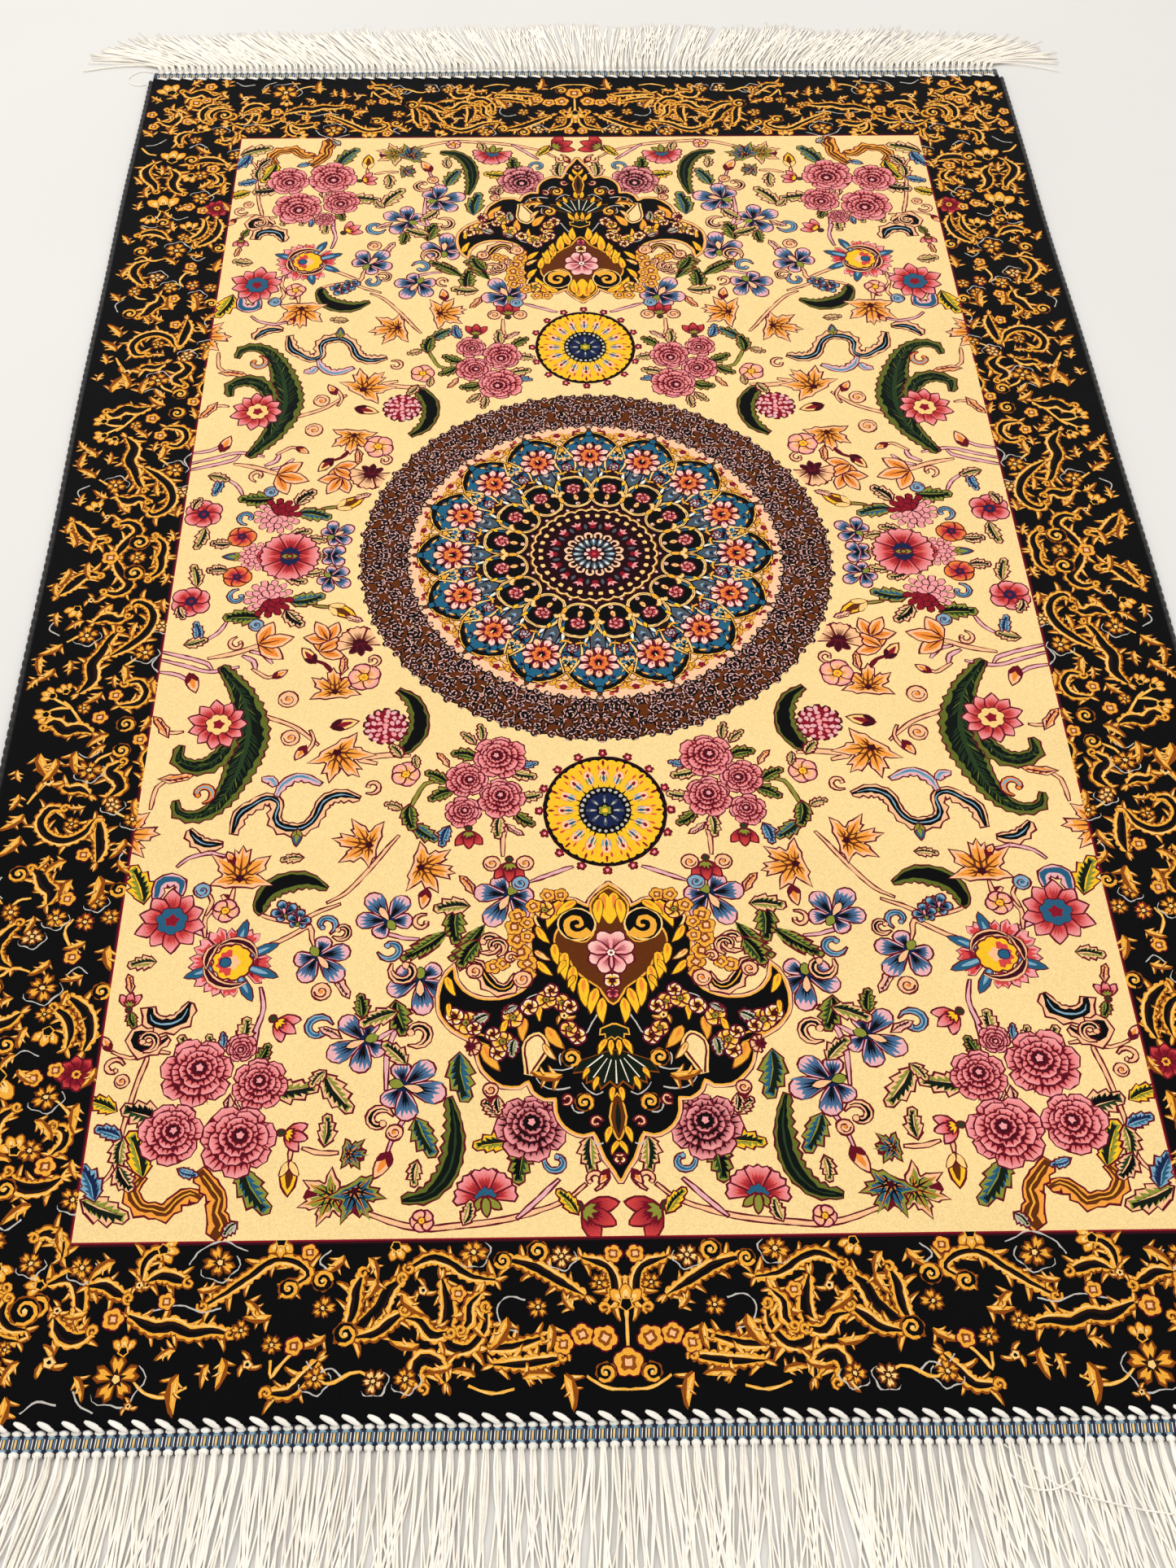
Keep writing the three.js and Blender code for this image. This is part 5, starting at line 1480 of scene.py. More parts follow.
def woven(name, outline, layers, material):
    # a closed slab of pile: the four quarters of the pattern on top, walls, and a flat back
    *cut, dyed = planar(outline, layers)
    corners, triangles, shade = simplified(*cut)
    cornerDyes = dyedCorners(corners, triangles, shade, dyed)
    spots, inward, faces, colours, known = [], [], [], [], {}
    onSide, onEnd = corners.real > quarterWidth - 1e-6, corners.imag > quarterLength - 1e-6
    for side in (-1, 1):
        for end in (-1, 1):
            ids = []
            for spot, ownSide, ownEnd, px, py in zip(corners, onSide, onEnd, *onRug(corners, side, end)):
                key = (round(side * spot.real, 4) + 0.0, round(end * spot.imag, 4) + 0.0)
                if key not in known:
                    known[key] = len(spots)
                    spots.append((px, py))
                    inward.append((-side * int(ownSide), -end * int(ownEnd)))
                ids.append(known[key])
            own = np.array(ids)[triangles]
            faces.append(own if side * end > 0 else own[:, ::-1])
            colours.append(cornerDyes if side * end > 0 else cornerDyes[:, ::-1])
    flat, inward = np.array(spots), np.array(inward, float)
    faces, colours = np.concatenate(faces), np.concatenate(colours)
    ease = pile["easedEdge"]
    top = np.column_stack([flat + ease * inward, np.full(len(flat), pile["height"])])
    points, tris, count, backs = [top], [faces], len(flat), []
    for loop in loopsOf(faces):
        steps = [(0, 0)]
        if inward[loop].any():  # the pile's own edge is eased over
            steps = [(ease * (1 - math.sin(a)), pile["height"] - ease * (1 - math.cos(a)))
                     for a in np.linspace(0, math.pi / 2, pile["rimSteps"] + 1)[1:]] + steps
        rows = [np.array(loop)]
        for off, z in steps:
            points.append(np.column_stack([flat[loop] + off * inward[loop], np.full(len(loop), z)]))
            rows.append(np.arange(count, count + len(loop)))
            count += len(loop)
        for upper, lower in zip(rows, rows[1:]):
            a, b, c, d = upper, np.roll(upper, -1), np.roll(lower, -1), lower
            tris.append(np.concatenate([np.column_stack([a, d, c]), np.column_stack([a, c, b])]))
        backs.append((rows[-1], flat[loop]))
    rimDye = linear(layers[0][1])
    order = [Vector((*spot, 0)) for rows, ring in backs for spot in ring]
    backIds = np.concatenate([rows for rows, ring in backs])
    start, lists = 0, []
    for rows, ring in backs:
        lists.append(order[start:start + len(ring)])
        start += len(ring)
    back = np.array(tessellate_polygon(lists))
    a, b, c = (np.array([order[i][:2] for i in back[:, k]]) for k in range(3))
    turn = (b - a)[:, 0] * (c - a)[:, 1] - (b - a)[:, 1] * (c - a)[:, 0]
    back[turn > 0] = back[turn > 0][:, ::-1]
    tris.append(backIds[back])
    points, tris = np.concatenate(points), np.concatenate(tris)
    colours = np.concatenate([colours, np.tile(rimDye, (len(tris) - len(colours), 3, 1))])
    print(name, "woven:", len(layers), "shapes,", len(tris), "triangles")
    return meshed(name, points, tris, colours, material, False)


# Materials: shader node groups for what several of them share, then one material for each finish


def nodeGroup(name, inputs, outputs):
    group = bpy.data.node_groups.new(name, "ShaderNodeTree")
    for label, kind, value in inputs:
        socket = group.interface.new_socket(label, in_out="INPUT", socket_type=kind)
        if value is not None:
            socket.default_value = value
    for label, kind in outputs:
        group.interface.new_socket(label, in_out="OUTPUT", socket_type=kind)
    return group, group.nodes.new("NodeGroupInput"), group.nodes.new("NodeGroupOutput")


def node(tree, kind, links=(), **settings):  # a node with its settings, and its inputs linked or set by name
    made = tree.nodes.new(kind)
    for key, value in settings.items():
        setattr(made, key, value)
    for socket, source in dict(links).items():
        if isinstance(source, bpy.types.NodeSocket):
            tree.links.new(source, made.inputs[socket])
        else:
            made.inputs[socket].default_value = source
    return made


def maths(tree, operation, *values):
    return node(tree, "ShaderNodeMath", dict(enumerate(values)), operation=operation).outputs[0]


def vectors(tree, operation, *values):
    return node(tree, "ShaderNodeVectorMath", dict(enumerate(values)), operation=operation).outputs[0]


def noise(tree, spot, scale, detail):
    return node(tree, "ShaderNodeTexNoise", {"Vector": spot, "Scale": scale, "Detail": detail})


def rounds(tree, value):  # from 0 up to 1 and back within each whole number
    return maths(tree, "ABSOLUTE", maths(tree, "SINE", maths(tree, "MULTIPLY", value, math.pi)))


def knotGroup():  # rows of knots: a value for each knot, and the height of the cut tufts
    tree, inside, outside = nodeGroup(
        "knotRows",
        [("Vector", "NodeSocketVector", None), ("Knot Width", "NodeSocketFloat", 0.00078),
         ("Knot Length", "NodeSocketFloat", 0.00072)],
        [("Shade", "NodeSocketFloat"), ("Height", "NodeSocketFloat")],
    )
    spread = noise(tree, inside.outputs["Vector"], 900.0, 1.0)
    offset = vectors(tree, "SUBTRACT", spread.outputs["Color"], (0.5, 0.5, 0.5))
    small = node(tree, "ShaderNodeVectorMath", {0: offset, 3: 0.0007}, operation="SCALE")
    moved = vectors(tree, "ADD", inside.outputs["Vector"], small.outputs[0])
    split = node(tree, "ShaderNodeSeparateXYZ", {0: moved})
    across = maths(tree, "DIVIDE", split.outputs["X"], inside.outputs["Knot Width"])
    along = maths(tree, "DIVIDE", split.outputs["Y"], inside.outputs["Knot Length"])
    place = {0: maths(tree, "FLOOR", across), 1: maths(tree, "FLOOR", along)}
    cell = node(tree, "ShaderNodeCombineXYZ", place)
    shade = node(tree, "ShaderNodeTexWhiteNoise", {"Vector": cell.outputs[0]}, noise_dimensions="2D")
    tuft = maths(tree, "POWER", maths(tree, "MULTIPLY", rounds(tree, across), rounds(tree, along)), 0.5)
    uneven = maths(tree, "MULTIPLY_ADD", shade.outputs["Value"], 0.5, tuft)
    tree.links.new(shade.outputs["Value"], outside.inputs["Shade"])
    tree.links.new(uneven, outside.inputs["Height"])
    return tree


def toneGroup():  # slow changes of tone: from one dye lot to the next, and painted sheen, a little lighter or darker, in patches where the nap lies another way
    tree, inside, outside = nodeGroup(
        "dyeLotsAndNapSheen",
        [("Vector", "NodeSocketVector", None), ("Band Length", "NodeSocketFloat", 9.0),
         ("Patch Scale", "NodeSocketFloat", 14.0)],
        [("Band", "NodeSocketFloat"), ("Nap Sheen", "NodeSocketFloat")],
    )
    stretch = vectors(tree, "MULTIPLY", inside.outputs["Vector"], (0.12, 1.0, 1.0))
    band = noise(tree, stretch, inside.outputs["Band Length"], 2.0)
    nap = node(tree, "ShaderNodeTexNoise",
               {"Vector": inside.outputs["Vector"], "Scale": inside.outputs["Patch Scale"], "Detail": 4.0,
                "Roughness": 0.6, "Distortion": 0.4})
    tree.links.new(band.outputs["Fac"], outside.inputs["Band"])
    tree.links.new(nap.outputs["Fac"], outside.inputs["Nap Sheen"])
    return tree


def twistGroup():  # the turns of a twisted or wound thread
    tree, inside, outside = nodeGroup(
        "threadTwist",
        [("Vector", "NodeSocketVector", None), ("Pitch", "NodeSocketFloat", 0.0006),
         ("Slant", "NodeSocketFloat", 0.4)],
        [("Shade", "NodeSocketFloat"), ("Height", "NodeSocketFloat")],
    )
    split = node(tree, "ShaderNodeSeparateXYZ", {0: inside.outputs["Vector"]})
    lean = maths(tree, "MULTIPLY_ADD", split.outputs["X"], inside.outputs["Slant"], split.outputs["Y"])
    lift = maths(tree, "MULTIPLY_ADD", split.outputs["Z"], inside.outputs["Slant"], lean)
    turn = maths(tree, "DIVIDE", lift, inside.outputs["Pitch"])
    height = rounds(tree, turn)
    fibre = noise(tree, inside.outputs["Vector"], 1400.0, 2.0)
    which = node(tree, "ShaderNodeCombineXYZ", {0: maths(tree, "FLOOR", turn)})
    shade = node(tree, "ShaderNodeTexWhiteNoise", {"Vector": which.outputs[0]}, noise_dimensions="2D")
    tone = maths(tree, "MULTIPLY", shade.outputs["Value"], 0.5)
    tone = maths(tree, "MULTIPLY_ADD", fibre.outputs["Fac"], 0.5, tone)
    tree.links.new(tone, outside.inputs["Shade"])
    raised = maths(tree, "MULTIPLY_ADD", fibre.outputs["Fac"], 0.4, height)
    tree.links.new(raised, outside.inputs["Height"])
    return tree


groups = {"knots": knotGroup(), "tone": toneGroup(), "twist": twistGroup()}


def placed(tree, name, links):
    return node(tree, "ShaderNodeGroup", links, node_tree=groups[name])


def ranged(tree, value, low, high):  # 0 to 1 turned into low to high
    return node(tree, "ShaderNodeMapRange", {"Value": value, "To Min": low, "To Max": high}).outputs["Result"]


def tinted(tree, colour, factor):  # a colour made lighter or darker by a factor
    grey = node(tree, "ShaderNodeCombineXYZ", {0: factor, 1: factor, 2: factor}).outputs[0]
    return vectors(tree, "MULTIPLY", colour, grey)


def carved(tree, shader, height, depth, strength):  # the height of the knots or threads, as a bump
    values = {"Height": height, "Distance": depth, "Strength": strength}
    bump = node(tree, "ShaderNodeBump", values)
    tree.links.new(bump.outputs["Normal"], shader.inputs["Normal"])


def newMaterial(name):
    material = bpy.data.materials.new(name)
    material.use_nodes = True
    tree = material.node_tree
    tree.nodes.clear()
    output = tree.nodes.new("ShaderNodeOutputMaterial")
    shader = tree.nodes.new("ShaderNodeBsdfPrincipled")
    tree.links.new(shader.outputs["BSDF"], output.inputs["Surface"])
    return material, tree, shader, tree.nodes.new("ShaderNodeTexCoord").outputs["Object"]


def setShader(shader, **values):
    for label, value in values.items():
        shader.inputs[label.replace("_", " ")].default_value = value


pileFinish = {
    "knotContrast": (0.90, 1.08),
    "bandContrast": (0.95, 1.05),
    # the painted sheen of the nap patches, as a factor that lightens or darkens the dye
    "napSheenContrast": (0.95, 1.06),
    "roughness": (0.50, 0.68),
    "knotDepth": 0.00026,
    "sheen": 0.01,
}


def silkPile():
    material, tree, shader, spot = newMaterial("silkPile")
    knots = placed(tree, "knots", {"Vector": spot})
    tone = placed(tree, "tone", {"Vector": spot})
    dye = node(tree, "ShaderNodeVertexColor", layer_name="dye").outputs["Color"]
    factor = ranged(tree, knots.outputs["Shade"], *pileFinish["knotContrast"])
    factor = maths(tree, "MULTIPLY", factor, ranged(tree, tone.outputs["Band"], *pileFinish["bandContrast"]))
    # patches of painted sheen from the nap lighten or darken the dye colour
    factor = maths(tree, "MULTIPLY", factor, ranged(tree, tone.outputs["Nap Sheen"], *pileFinish["napSheenContrast"]))
    tree.links.new(tinted(tree, dye, factor), shader.inputs["Base Color"])
    tree.links.new(ranged(tree, tone.outputs["Nap Sheen"], *pileFinish["roughness"]), shader.inputs["Roughness"])
    carved(tree, shader, knots.outputs["Height"], pileFinish["knotDepth"], 0.7)
    setShader(shader, Sheen_Weight=pileFinish["sheen"], Sheen_Roughness=0.4, Specular_IOR_Level=0.05)
    return material


def silkBinding():
    material, tree, shader, spot = newMaterial("silkBinding")
    twist = placed(tree, "twist", {"Vector": spot, "Pitch": 0.0007, "Slant": 0.35})
    shade = ranged(tree, twist.outputs["Shade"], 0.0, 1.0)
    colour = node(tree, "ShaderNodeMix", {"Factor": shade}, data_type="RGBA")
    colour.inputs[6].default_value = (0.003, 0.0025, 0.003, 1)
    colour.inputs[7].default_value = (0.012, 0.009, 0.01, 1)
    tree.links.new(colour.outputs[2], shader.inputs["Base Color"])
    tree.links.new(ranged(tree, twist.outputs["Shade"], 0.42, 0.6), shader.inputs["Roughness"])
    carved(tree, shader, twist.outputs["Height"], 0.0003, 0.9)
    setShader(shader, Sheen_Weight=0.2, Sheen_Roughness=0.35, Specular_IOR_Level=0.35)
    return material


def silkThread():
    material, tree, shader, spot = newMaterial("silkThread")
    twist = placed(tree, "twist", {"Vector": spot, "Pitch": 0.0009, "Slant": 0.8})
    tone = placed(tree, "tone", {"Vector": spot, "Patch Scale": 40.0})
    dye = node(tree, "ShaderNodeVertexColor", layer_name="dye").outputs["Color"]
    # the twist's turns vary the tone at random, and patches of painted sheen lighten or darken it
    factor = maths(tree, "MULTIPLY", ranged(tree, twist.outputs["Shade"], 0.97, 1.1),
                   ranged(tree, tone.outputs["Nap Sheen"], 0.94, 1.06))
    tree.links.new(tinted(tree, dye, factor), shader.inputs["Base Color"])
    tree.links.new(ranged(tree, twist.outputs["Shade"], 0.45, 0.65), shader.inputs["Roughness"])
    carved(tree, shader, twist.outputs["Height"], 0.0002, 0.6)
    setShader(shader, Sheen_Weight=0.25, Sheen_Roughness=0.35, Specular_IOR_Level=0.35)
    return material


def paleFloor():
    material, tree, shader, spot = newMaterial("paleFloor")
    cloud = noise(tree, spot, 3.0, 3.0)
    tone = ranged(tree, cloud.outputs["Fac"], 0.70, 0.76)
    warm = node(tree, "ShaderNodeCombineXYZ", {0: tone, 1: maths(tree, "MULTIPLY", tone, 0.975),
                                               2: maths(tree, "MULTIPLY", tone, 0.94)})
    tree.links.new(warm.outputs[0], shader.inputs["Base Color"])
    setShader(shader, Roughness=0.8, Specular_IOR_Level=0.2)
    return material


finishes = {"pile": silkPile(), "binding": silkBinding(), "thread": silkThread()}
print("materials made:", ", ".join(finishes))


# Threads, cords and stitches, gathered into one mesh for each piece


class Gathered:
    def __init__(self):
        self.points, self.faces, self.colours, self.count = [], [], [], 0

    def add(self, points, faces, colour):
        self.points.append(points)
        self.faces.append(np.asarray(faces) + self.count)
        self.colours.append(np.tile(colour, (len(faces), 1)))
        self.count += len(points)

    def tube(self, path, wide, high, sides, colour):  # closed at both ends of its path of (x, y, z)
        path = np.asarray(path, float)
        ahead = np.gradient(path[:, :2], axis=0)
        ahead /= np.maximum(np.linalg.norm(ahead, axis=1), 1e-9)[:, None]
        across = np.column_stack([ahead[:, 1], -ahead[:, 0], np.zeros(len(path))])
        turn = 2 * np.pi * (np.arange(sides) + 0.5) / sides
        wide, high = np.broadcast_to(wide, len(path)), np.broadcast_to(high, len(path))
        ring = path[:, None] + across[:, None] * (np.cos(turn)[None, :, None] * wide[:, None, None] / 2)
        ring[:, :, 2] += np.sin(turn)[None] * high[:, None] / 2
        points = ring.reshape(-1, 3)
        k = np.arange(sides)
        following = (k + 1) % sides
        faces = []
        for row in range(len(path) - 1):
            a, b = row * sides + k, row * sides + following
            c, d = b + sides, a + sides
            faces += [np.column_stack([a, c, b]), np.column_stack([a, d, c])]
        last = (len(path) - 1) * sides
        for m in range(1, sides - 1):
            faces.append(np.array([[0, m, m + 1]]))
            faces.append(np.array([[last, last + m + 1, last + m]]))
        self.add(points, np.concatenate(faces), colour)

    def made(self, name, material):
        points, faces = np.concatenate(self.points), np.concatenate(self.faces)
        print(name, "made:", len(faces), "triangles")
        return meshed(name, points, faces, np.concatenate(self.colours)[:, None, :], material, True)


def sidePoint(share, side):  # on the pile's side edge, from the near corner at 0 to the far corner at 1
    corner = side * pile["halfWidth"]
    y = -endReach(corner, -1) + share * (endReach(corner, 1) + endReach(corner, -1))
    return side * sideReach(y, side), y


# Black thread wound round the edge cords; the ribs are where it lies thick
binding = {"ribs": 161, "stepsPerRib": 6, "ribWidth": 0.0043, "dipWidth": 0.0035, "ribHeight": 0.0039,
           "dipHeight": 0.0033, "seam": 0.0003, "sides": 10}


def sideBinding(name, side):
    gathered = Gathered()
    count = binding["ribs"] * binding["stepsPerRib"]
    share = np.linspace(0, 1, count + 1)
    x, y = sidePoint(share, side)
    swell = abs(np.sin(np.pi * binding["ribs"] * share)) ** 0.7
    wide = binding["dipWidth"] + (binding["ribWidth"] - binding["dipWidth"]) * swell
    high = binding["dipHeight"] + (binding["ribHeight"] - binding["dipHeight"]) * swell
    ends = np.minimum(1, np.minimum(share, 1 - share) * count / 3 + 0.35)
    wide, high = wide * ends, high * ends
    middle = abs(x) + binding["seam"] + wide / 2
    path = np.column_stack([side * middle, y, high / 2])
    gathered.tube(path, wide, high, binding["sides"], linear("black"))
    return gathered.made(name, finishes["binding"])


# The woven band at each end, with its bead rows, bars and bunches of warp
web = {
    "depth": 0.0134, "seam": 0.0003, "thickness": 0.0014, "halfWidth": 0.396, "bunches": 132,
    "pitch": 0.00595, "columns": 60,
    "rows": (  # distance from the pile, length along the warp, width share of the pitch, height, dye
        (0.0006, 0.0026, 0.96, 0.0024, "warp"),
        (0.0034, 0.0012, 0.70, 0.0018, "paleBlue"),
        (0.0096, 0.0012, 0.70, 0.0018, "paleBlue"),
        (0.0110, 0.0034, 0.98, 0.0028, "warp"),
    ),
}
bars = ((-0.42, 0.0007, "warp"), (-0.25, 0.0008, "steelBlue"), (0.0, 0.0016, "lightGold"),
        (0.25, 0.0008, "warp"))  # place in the pitch, width, dye

# How the bunches lie: place across the end from -1 to 1, lean, further curl, and length in mm
farLay = (
    (-1.0, -70, -14, 85), (-0.965, -59, -10, 88), (-0.93, -51, -6, 89), (-0.8, -42, -4, 85),
    (-0.6, -35, -3, 84), (-0.4, -29, -2, 83), (-0.2, -22, 2, 84), (0.0, -6, 5, 84), (0.2, 12, 4, 84),
    (0.4, 22, 5, 84), (0.6, 30, 6, 83), (0.8, 40, 8, 87), (0.93, 50, 10, 89),
    (0.965, 59, 14, 88), (1.0, 70, 20, 85),
)
nearLay = (
    (-1.0, -38, -6, 80), (-0.9, -20, -4, 83), (-0.6, -7, 0, 84), (0.0, 1, 0, 84), (0.6, 6, 0, 84),
    (0.9, 17, 4, 83), (1.0, 34, 8, 80),
)
fringe = {"threads": 6, "steps": 8, "threadWidth": 0.0014, "bendWithin": 0.22, "spread": 0.0022,
          "stray": 0.0078, "sway": 4.2, "tones": (0.98, 1.12)}


def layAt(lay, place, column):
    return np.interp(place, [row[0] for row in lay], [row[column] for row in lay])


def uneven(i, kind):
    return math.sin(i * 12.9898 + kind * 78.233)


def innerY(x, end):
    return endReach(end * x, end) + web["seam"]


def turnedEnd(points, end):  # the near end is drawn as the far one, then turned half round
    if end > 0:
        return points
    return np.asarray(points) * np.array([-1, -1, 1])


def bunchPath(lay, i, x, y):
    place = 2 * i / (web["bunches"] - 1) - 1
    # bunches lean together, and part in a few places
    sway = math.sin(0.9 * i + 2 * math.sin(0.37 * i)) + 0.6 * uneven(i, 1)
    lean = math.radians(layAt(lay, place, 1) + fringe["sway"] * sway * math.cos(math.pi / 2 * place))
    curl = math.radians(layAt(lay, place, 2))
    length = (layAt(lay, place, 3) + 3.2 * (uneven(i, 2) - 1)) / 1000
    steps = fringe["steps"]
    share = np.linspace(0, 1, 4 * steps + 1)
    t = np.clip(share / fringe["bendWithin"], 0, 1)
    heading = lean * t * t * (3 - 2 * t) + curl * share
    middle = (heading[1:] + heading[:-1]) / 2
    step = length / (4 * steps)
    px = x + np.concatenate([[0], np.cumsum(step * np.sin(middle))])
    py = y + np.concatenate([[0], np.cumsum(step * np.cos(middle))])
    return share[::4], px[::4], py[::4], heading[::4]


def endFringe(name, end, lay):
    gathered = Gathered()
    pick = random.Random(31 + end)
    first = -web["pitch"] * (web["bunches"] - 1) / 2
    for i in range(web["bunches"]):
        x = first + i * web["pitch"]
        y = innerY(x, end) + web["depth"]
        share, px, py, heading = bunchPath(lay, i, x, y)
        across = np.column_stack([np.cos(heading), -np.sin(heading)])
        lean = pick.uniform(-0.5, 0.5)
        thick = fringe["threadWidth"]
        tied = np.interp(share, [0, 0.04, 0.12, 0.4, 1], [0.5, 0.62, 0.85, 1.15, 1.2])
        rise = np.interp(share, [0, 0.08, 0.3, 1], [1.2, 1.2, 0.9, 0.25])
        taper = np.interp(share, [0, 0.9, 1], [1.0, 1.0, 0.6])
        for k in range(fringe["threads"]):
            place = (k + 0.5) / fringe["threads"] - 0.5
            off = 2 * place * fringe["spread"] * tied
            swing = pick.uniform(-1, 1) * fringe["stray"] * (2.4 if pick.random() < 0.14 else 1)
            off = off + swing * np.clip(share - 0.15, 0, 1) ** 1.3 * 1.6 + lean * 0.001 * share
            off = off + 0.0003 * np.sin(9 * share + pick.uniform(0, 6)) * np.minimum(1, share * 4)
            reach = 1 - 0.07 * pick.random() ** 2
            tx, ty = px + across[:, 0] * off, py + across[:, 1] * off
            tx, ty = px[0] + (tx - px[0]) * reach, py[0] + (ty - py[0]) * reach
            layer = pick.random()
            tall = thick * (0.6 + 1.9 * layer * rise)
            path = np.column_stack([tx, ty, np.maximum(tall, 0.55 * thick)])
            wide = thick * taper * pick.uniform(0.85, 1.15)
            tone = pick.uniform(*fringe["tones"])
            tones = [tone, tone * pick.uniform(0.98, 1.0), tone * pick.uniform(0.95, 1.0)]
            gathered.tube(turnedEnd(path, end), wide, wide, 4, linear("warp") * np.array(tones))
    return gathered.made(name, finishes["thread"])


def pillow(gathered, spot, size, colour, end):  # a small rounded bead of thread
    x, y, z = spot
    wide, long, high = size
    share = np.array([0.4, 0.95, 0.95, 0.4])
    path = [(x, y + s * long, z) for s in (-0.5, -0.2, 0.2, 0.5)]
    gathered.tube(turnedEnd(path, end), wide * share, high * share, 5, colour)


def endWeb(name, end):
    gathered = Gathered()
    pick = random.Random(5 + end)
    last = web["columns"]
    wide = last + 1
    xs = np.linspace(-web["halfWidth"], web["halfWidth"], wide)
    ys = innerY(xs, end)
    low, high = 0.0002, web["thickness"]
    rows = [np.column_stack([xs, ys + d, np.full(wide, z)])
            for d, z in ((0, low), (0, high), (web["depth"], high), (web["depth"], low))]
    points = turnedEnd(np.concatenate(rows), end)
    faces = []
    for r in range(4):
        a, b = r * wide, (r + 1) % 4 * wide
        for k in range(last):
            faces += [[a + k, a + k + 1, b + k + 1], [a + k, b + k + 1, b + k]]
    faces += [[0, wide, 2 * wide], [0, 2 * wide, 3 * wide],
              [last, last + 2 * wide, last + wide], [last, last + 3 * wide, last + 2 * wide]]
    gathered.add(points, faces, linear("navy") * 0.5)
    first = -web["pitch"] * (web["bunches"] - 1) / 2
    for i in range(web["bunches"]):
        x = first + i * web["pitch"]
        y = innerY(x, end)
        for start, long, share, height, dye in web["rows"]:
            tone = pick.uniform(0.85, 1.0)
            spot = (x, y + start + long / 2, web["thickness"] + height / 2 - 0.0009)
            size = (share * web["pitch"], long * 1.15, height)
            pillow(gathered, spot, size, linear(dye) * tone, end)
        for place, wide, dye in bars:
            at = x + place * web["pitch"]
            path = [(at + 0.0002 * s, y + 0.0071 + 0.0025 * s, web["thickness"]) for s in (-1, 1)]
            gathered.tube(turnedEnd(path, end), wide, 0.0008, 4, linear(dye) * pick.uniform(0.8, 1.0))
    return gathered.made(name, finishes["thread"])


# White stitches over the pile's black edge, two bunches apart and slanted
stitches = {"pitch": 0.0119, "length": 0.0098, "width": 0.0044, "slant": -0.90, "inset": 0.0004}


def edgeStitches(name, end):
    gathered = Gathered()
    pick = random.Random(17 + end)
    count = int(2 * pile["halfWidth"] / stitches["pitch"])
    for i in range(count):
        x = (i - (count - 1) / 2) * stitches["pitch"] + pick.uniform(-0.0004, 0.0004)
        edge = endReach(end * x, end)
        steps = np.linspace(-0.5, 0.5, 7)
        long = stitches["length"] * pick.uniform(0.92, 1.08)
        y = edge - stitches["inset"] + steps * long * 0.46
        px = x + stitches["slant"] * steps * long
        z = pile["height"] + 0.0005 - np.clip((y - edge + 0.0008) / 0.003, 0, 1) ** 1.5 * 0.0022
        for off in (-0.24, 0.24):
            swell = np.cos(np.pi * steps) ** 0.6 * 0.9 + 0.12
            path = np.column_stack([px + off * 0.0012 * swell, y + off * 0.0009 * swell, z])
            wide = stitches["width"] * 0.62 * (0.5 + 0.5 * swell)
            tone = pick.uniform(0.86, 1.0)
            gathered.tube(turnedEnd(path, end), wide, 0.0012, 5, linear("warp") * tone)
    return gathered.made(name, finishes["thread"])


# Loose threads that lie over the near fringe and curl at the far left corner, as x + y in mm
looseThreads = (
    (229-617j, 224-636j, 216-646j, 204-651j, 190-648j, 180-636j),
    (184-628j, 210-650j, 242-660j, 264-664j),
    (-398+622j, -408+624j, -417+617j, -419+608j, -411+601j, -402+602j),
)


def looseEnds(name):
    gathered = Gathered()
    for k, knots in enumerate(looseThreads):
        curve = smooth(knots, 2.5) / 1000
        share = shareAlong(curve)
        lift = 0.0022 + 0.0012 * np.sin(np.pi * share) if k < 2 else np.full(len(curve), 0.0006)
        path = np.column_stack([curve.real, curve.imag, lift])
        gathered.tube(path, 0.0010, 0.0010, 5, linear("warp"))
    return gathered.made(name, finishes["thread"])


# Pieces on the frame


def along(piece, slot, *nodes):
    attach(piece, "root")
    if nodes:
        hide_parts(*nodes)
    return piece


roundEdge = medallionReach * np.exp(1j * np.radians(np.linspace(0, 90, 31)))
roundEdge[0], roundEdge[-1] = medallionReach, 1j * medallionReach
outerSide = [complex(quarterWidth, b) for b in np.linspace(0, fieldLength, 41)]
outerCorner = [complex(quarterWidth, b) for b in np.linspace(fieldLength, quarterLength, 8)]
outerEnd = [complex(a, quarterLength) for a in np.linspace(quarterWidth, 0, 31)[1:]]
fieldCorner, fieldBend = complex(fieldWidth, fieldLength), complex(fieldWidth, fieldSplit)
outlines = {  # each part's quarter: the pile is cut where its ground or its bands change
    "border_sides": np.array([*outerSide, fieldCorner, fieldBend, fieldWidth]),
    "border_ends": np.array([*outerCorner, *outerEnd, fieldLength * 1j, fieldCorner]),
    "field_middle": np.array([fieldWidth, fieldBend, fieldSplit * 1j, *roundEdge[::-1]]),
    "field_ends": np.array([fieldSplit * 1j, fieldBend, fieldCorner, fieldLength * 1j]),
    "medallion": np.array([0, *roundEdge]),
}
patterns = {"border": borderPattern(), "field": fieldPattern(), "medallion": medallionPattern()}
for part, outline in outlines.items():
    drawn = woven("pile_" + part, outline, patterns[part.split("_")[0]], finishes["pile"])
    along(drawn, "pile_silk", "pile_cloth")

leftBinding = along(sideBinding("side_binding_left", -1), "binding_silk", "side_cord_left")
rightBinding = along(sideBinding("side_binding_right", 1), "binding_silk", "side_cord_right")
farWeb = along(endWeb("end_web_far", 1), "warp_silk", "end_fringe_far")
nearWeb = along(endWeb("end_web_near", -1), "warp_silk", "end_fringe_near")
farFringe = along(endFringe("fringe_far", 1, farLay), "warp_silk", "end_fringe_far")
nearFringe = along(endFringe("fringe_near", -1, nearLay), "warp_silk", "end_fringe_near")
farStitches = along(edgeStitches("edge_stitches_far", 1), "warp_silk")
nearStitches = along(edgeStitches("edge_stitches_near", -1), "warp_silk")
loose = along(looseEnds("loose_threads"), "warp_silk")


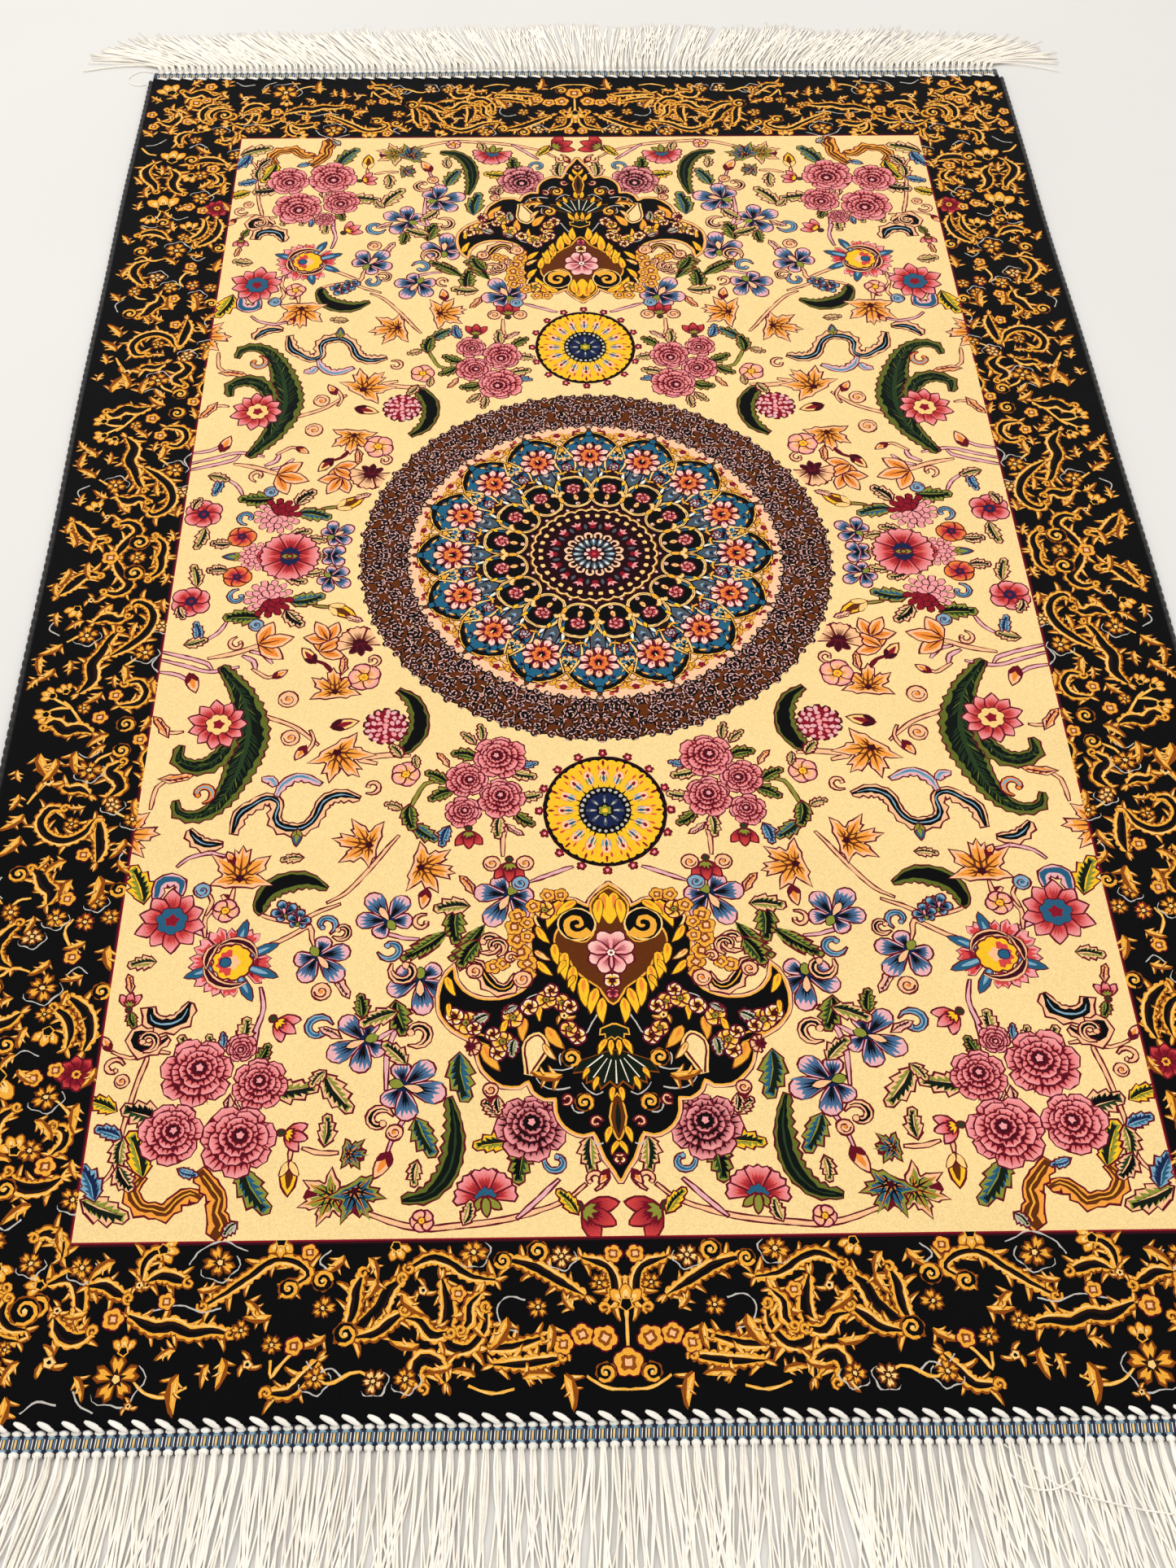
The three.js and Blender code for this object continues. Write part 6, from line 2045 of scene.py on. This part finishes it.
# Floor, light and camera
floorMesh = bpy.data.meshes.new("floor")
floorMesh.from_pydata([(-9, -9, 0), (9, -9, 0), (9, 9, 0), (-9, 9, 0)], [], [(0, 1, 2, 3)])
floorMesh.materials.append(paleFloor())
floor = bpy.data.objects.new("floor", floorMesh)
bpy.context.collection.objects.link(floor)

studio = {"skyStrength": 0.82, "keyPower": 30.0, "keySize": 2.2, "keyPlace": (-0.9, 0.9, 2.4),
          "fillPower": 10.0, "fillPlace": (1.3, -1.2, 2.2)}


def softLight(name, power, size, place):
    light = bpy.data.lights.new(name, "AREA")
    light.energy, light.size = power, size
    lamp = bpy.data.objects.new(name, light)
    lamp.location = place
    lamp.rotation_euler = (Vector((0, 0, 0)) - Vector(place)).to_track_quat("-Z", "Y").to_euler()
    bpy.context.collection.objects.link(lamp)


softLight("keyLight", studio["keyPower"], studio["keySize"], studio["keyPlace"])
softLight("fillLight", studio["fillPower"], studio["keySize"], studio["fillPlace"])
world = bpy.data.worlds.new("studio")
world.use_nodes = True
background = world.node_tree.nodes["Background"]
background.inputs["Color"].default_value = (1.0, 0.985, 0.96, 1)
background.inputs["Strength"].default_value = studio["skyStrength"]
bpy.context.scene.world = world
bpy.context.scene.view_settings.view_transform = "Standard"

view = {"lens": 39.23, "place": (-0.0525, -0.8646, 0.9025), "yaw": 0.055, "pitch": 0.939, "roll": 0.032}


def photoCamera():
    camera = bpy.data.cameras.new("camera")
    camera.lens, camera.sensor_width = view["lens"], 36
    camera.clip_start, camera.clip_end = 0.01, 50
    yaw, pitch, roll = view["yaw"], view["pitch"], view["roll"]
    forward = Vector((math.sin(yaw) * math.cos(pitch), math.cos(yaw) * math.cos(pitch), -math.sin(pitch)))
    right = Vector((math.cos(yaw), -math.sin(yaw), 0))
    up = right.cross(forward)
    x = math.cos(roll) * right + math.sin(roll) * up
    y = math.cos(roll) * up - math.sin(roll) * right
    made = bpy.data.objects.new("camera", camera)
    turn = Matrix((x, y, -forward)).transposed().to_4x4()
    made.matrix_world = Matrix.Translation(view["place"]) @ turn
    bpy.context.collection.objects.link(made)
    bpy.context.scene.camera = made


photoCamera()
print("floor, light and camera set")
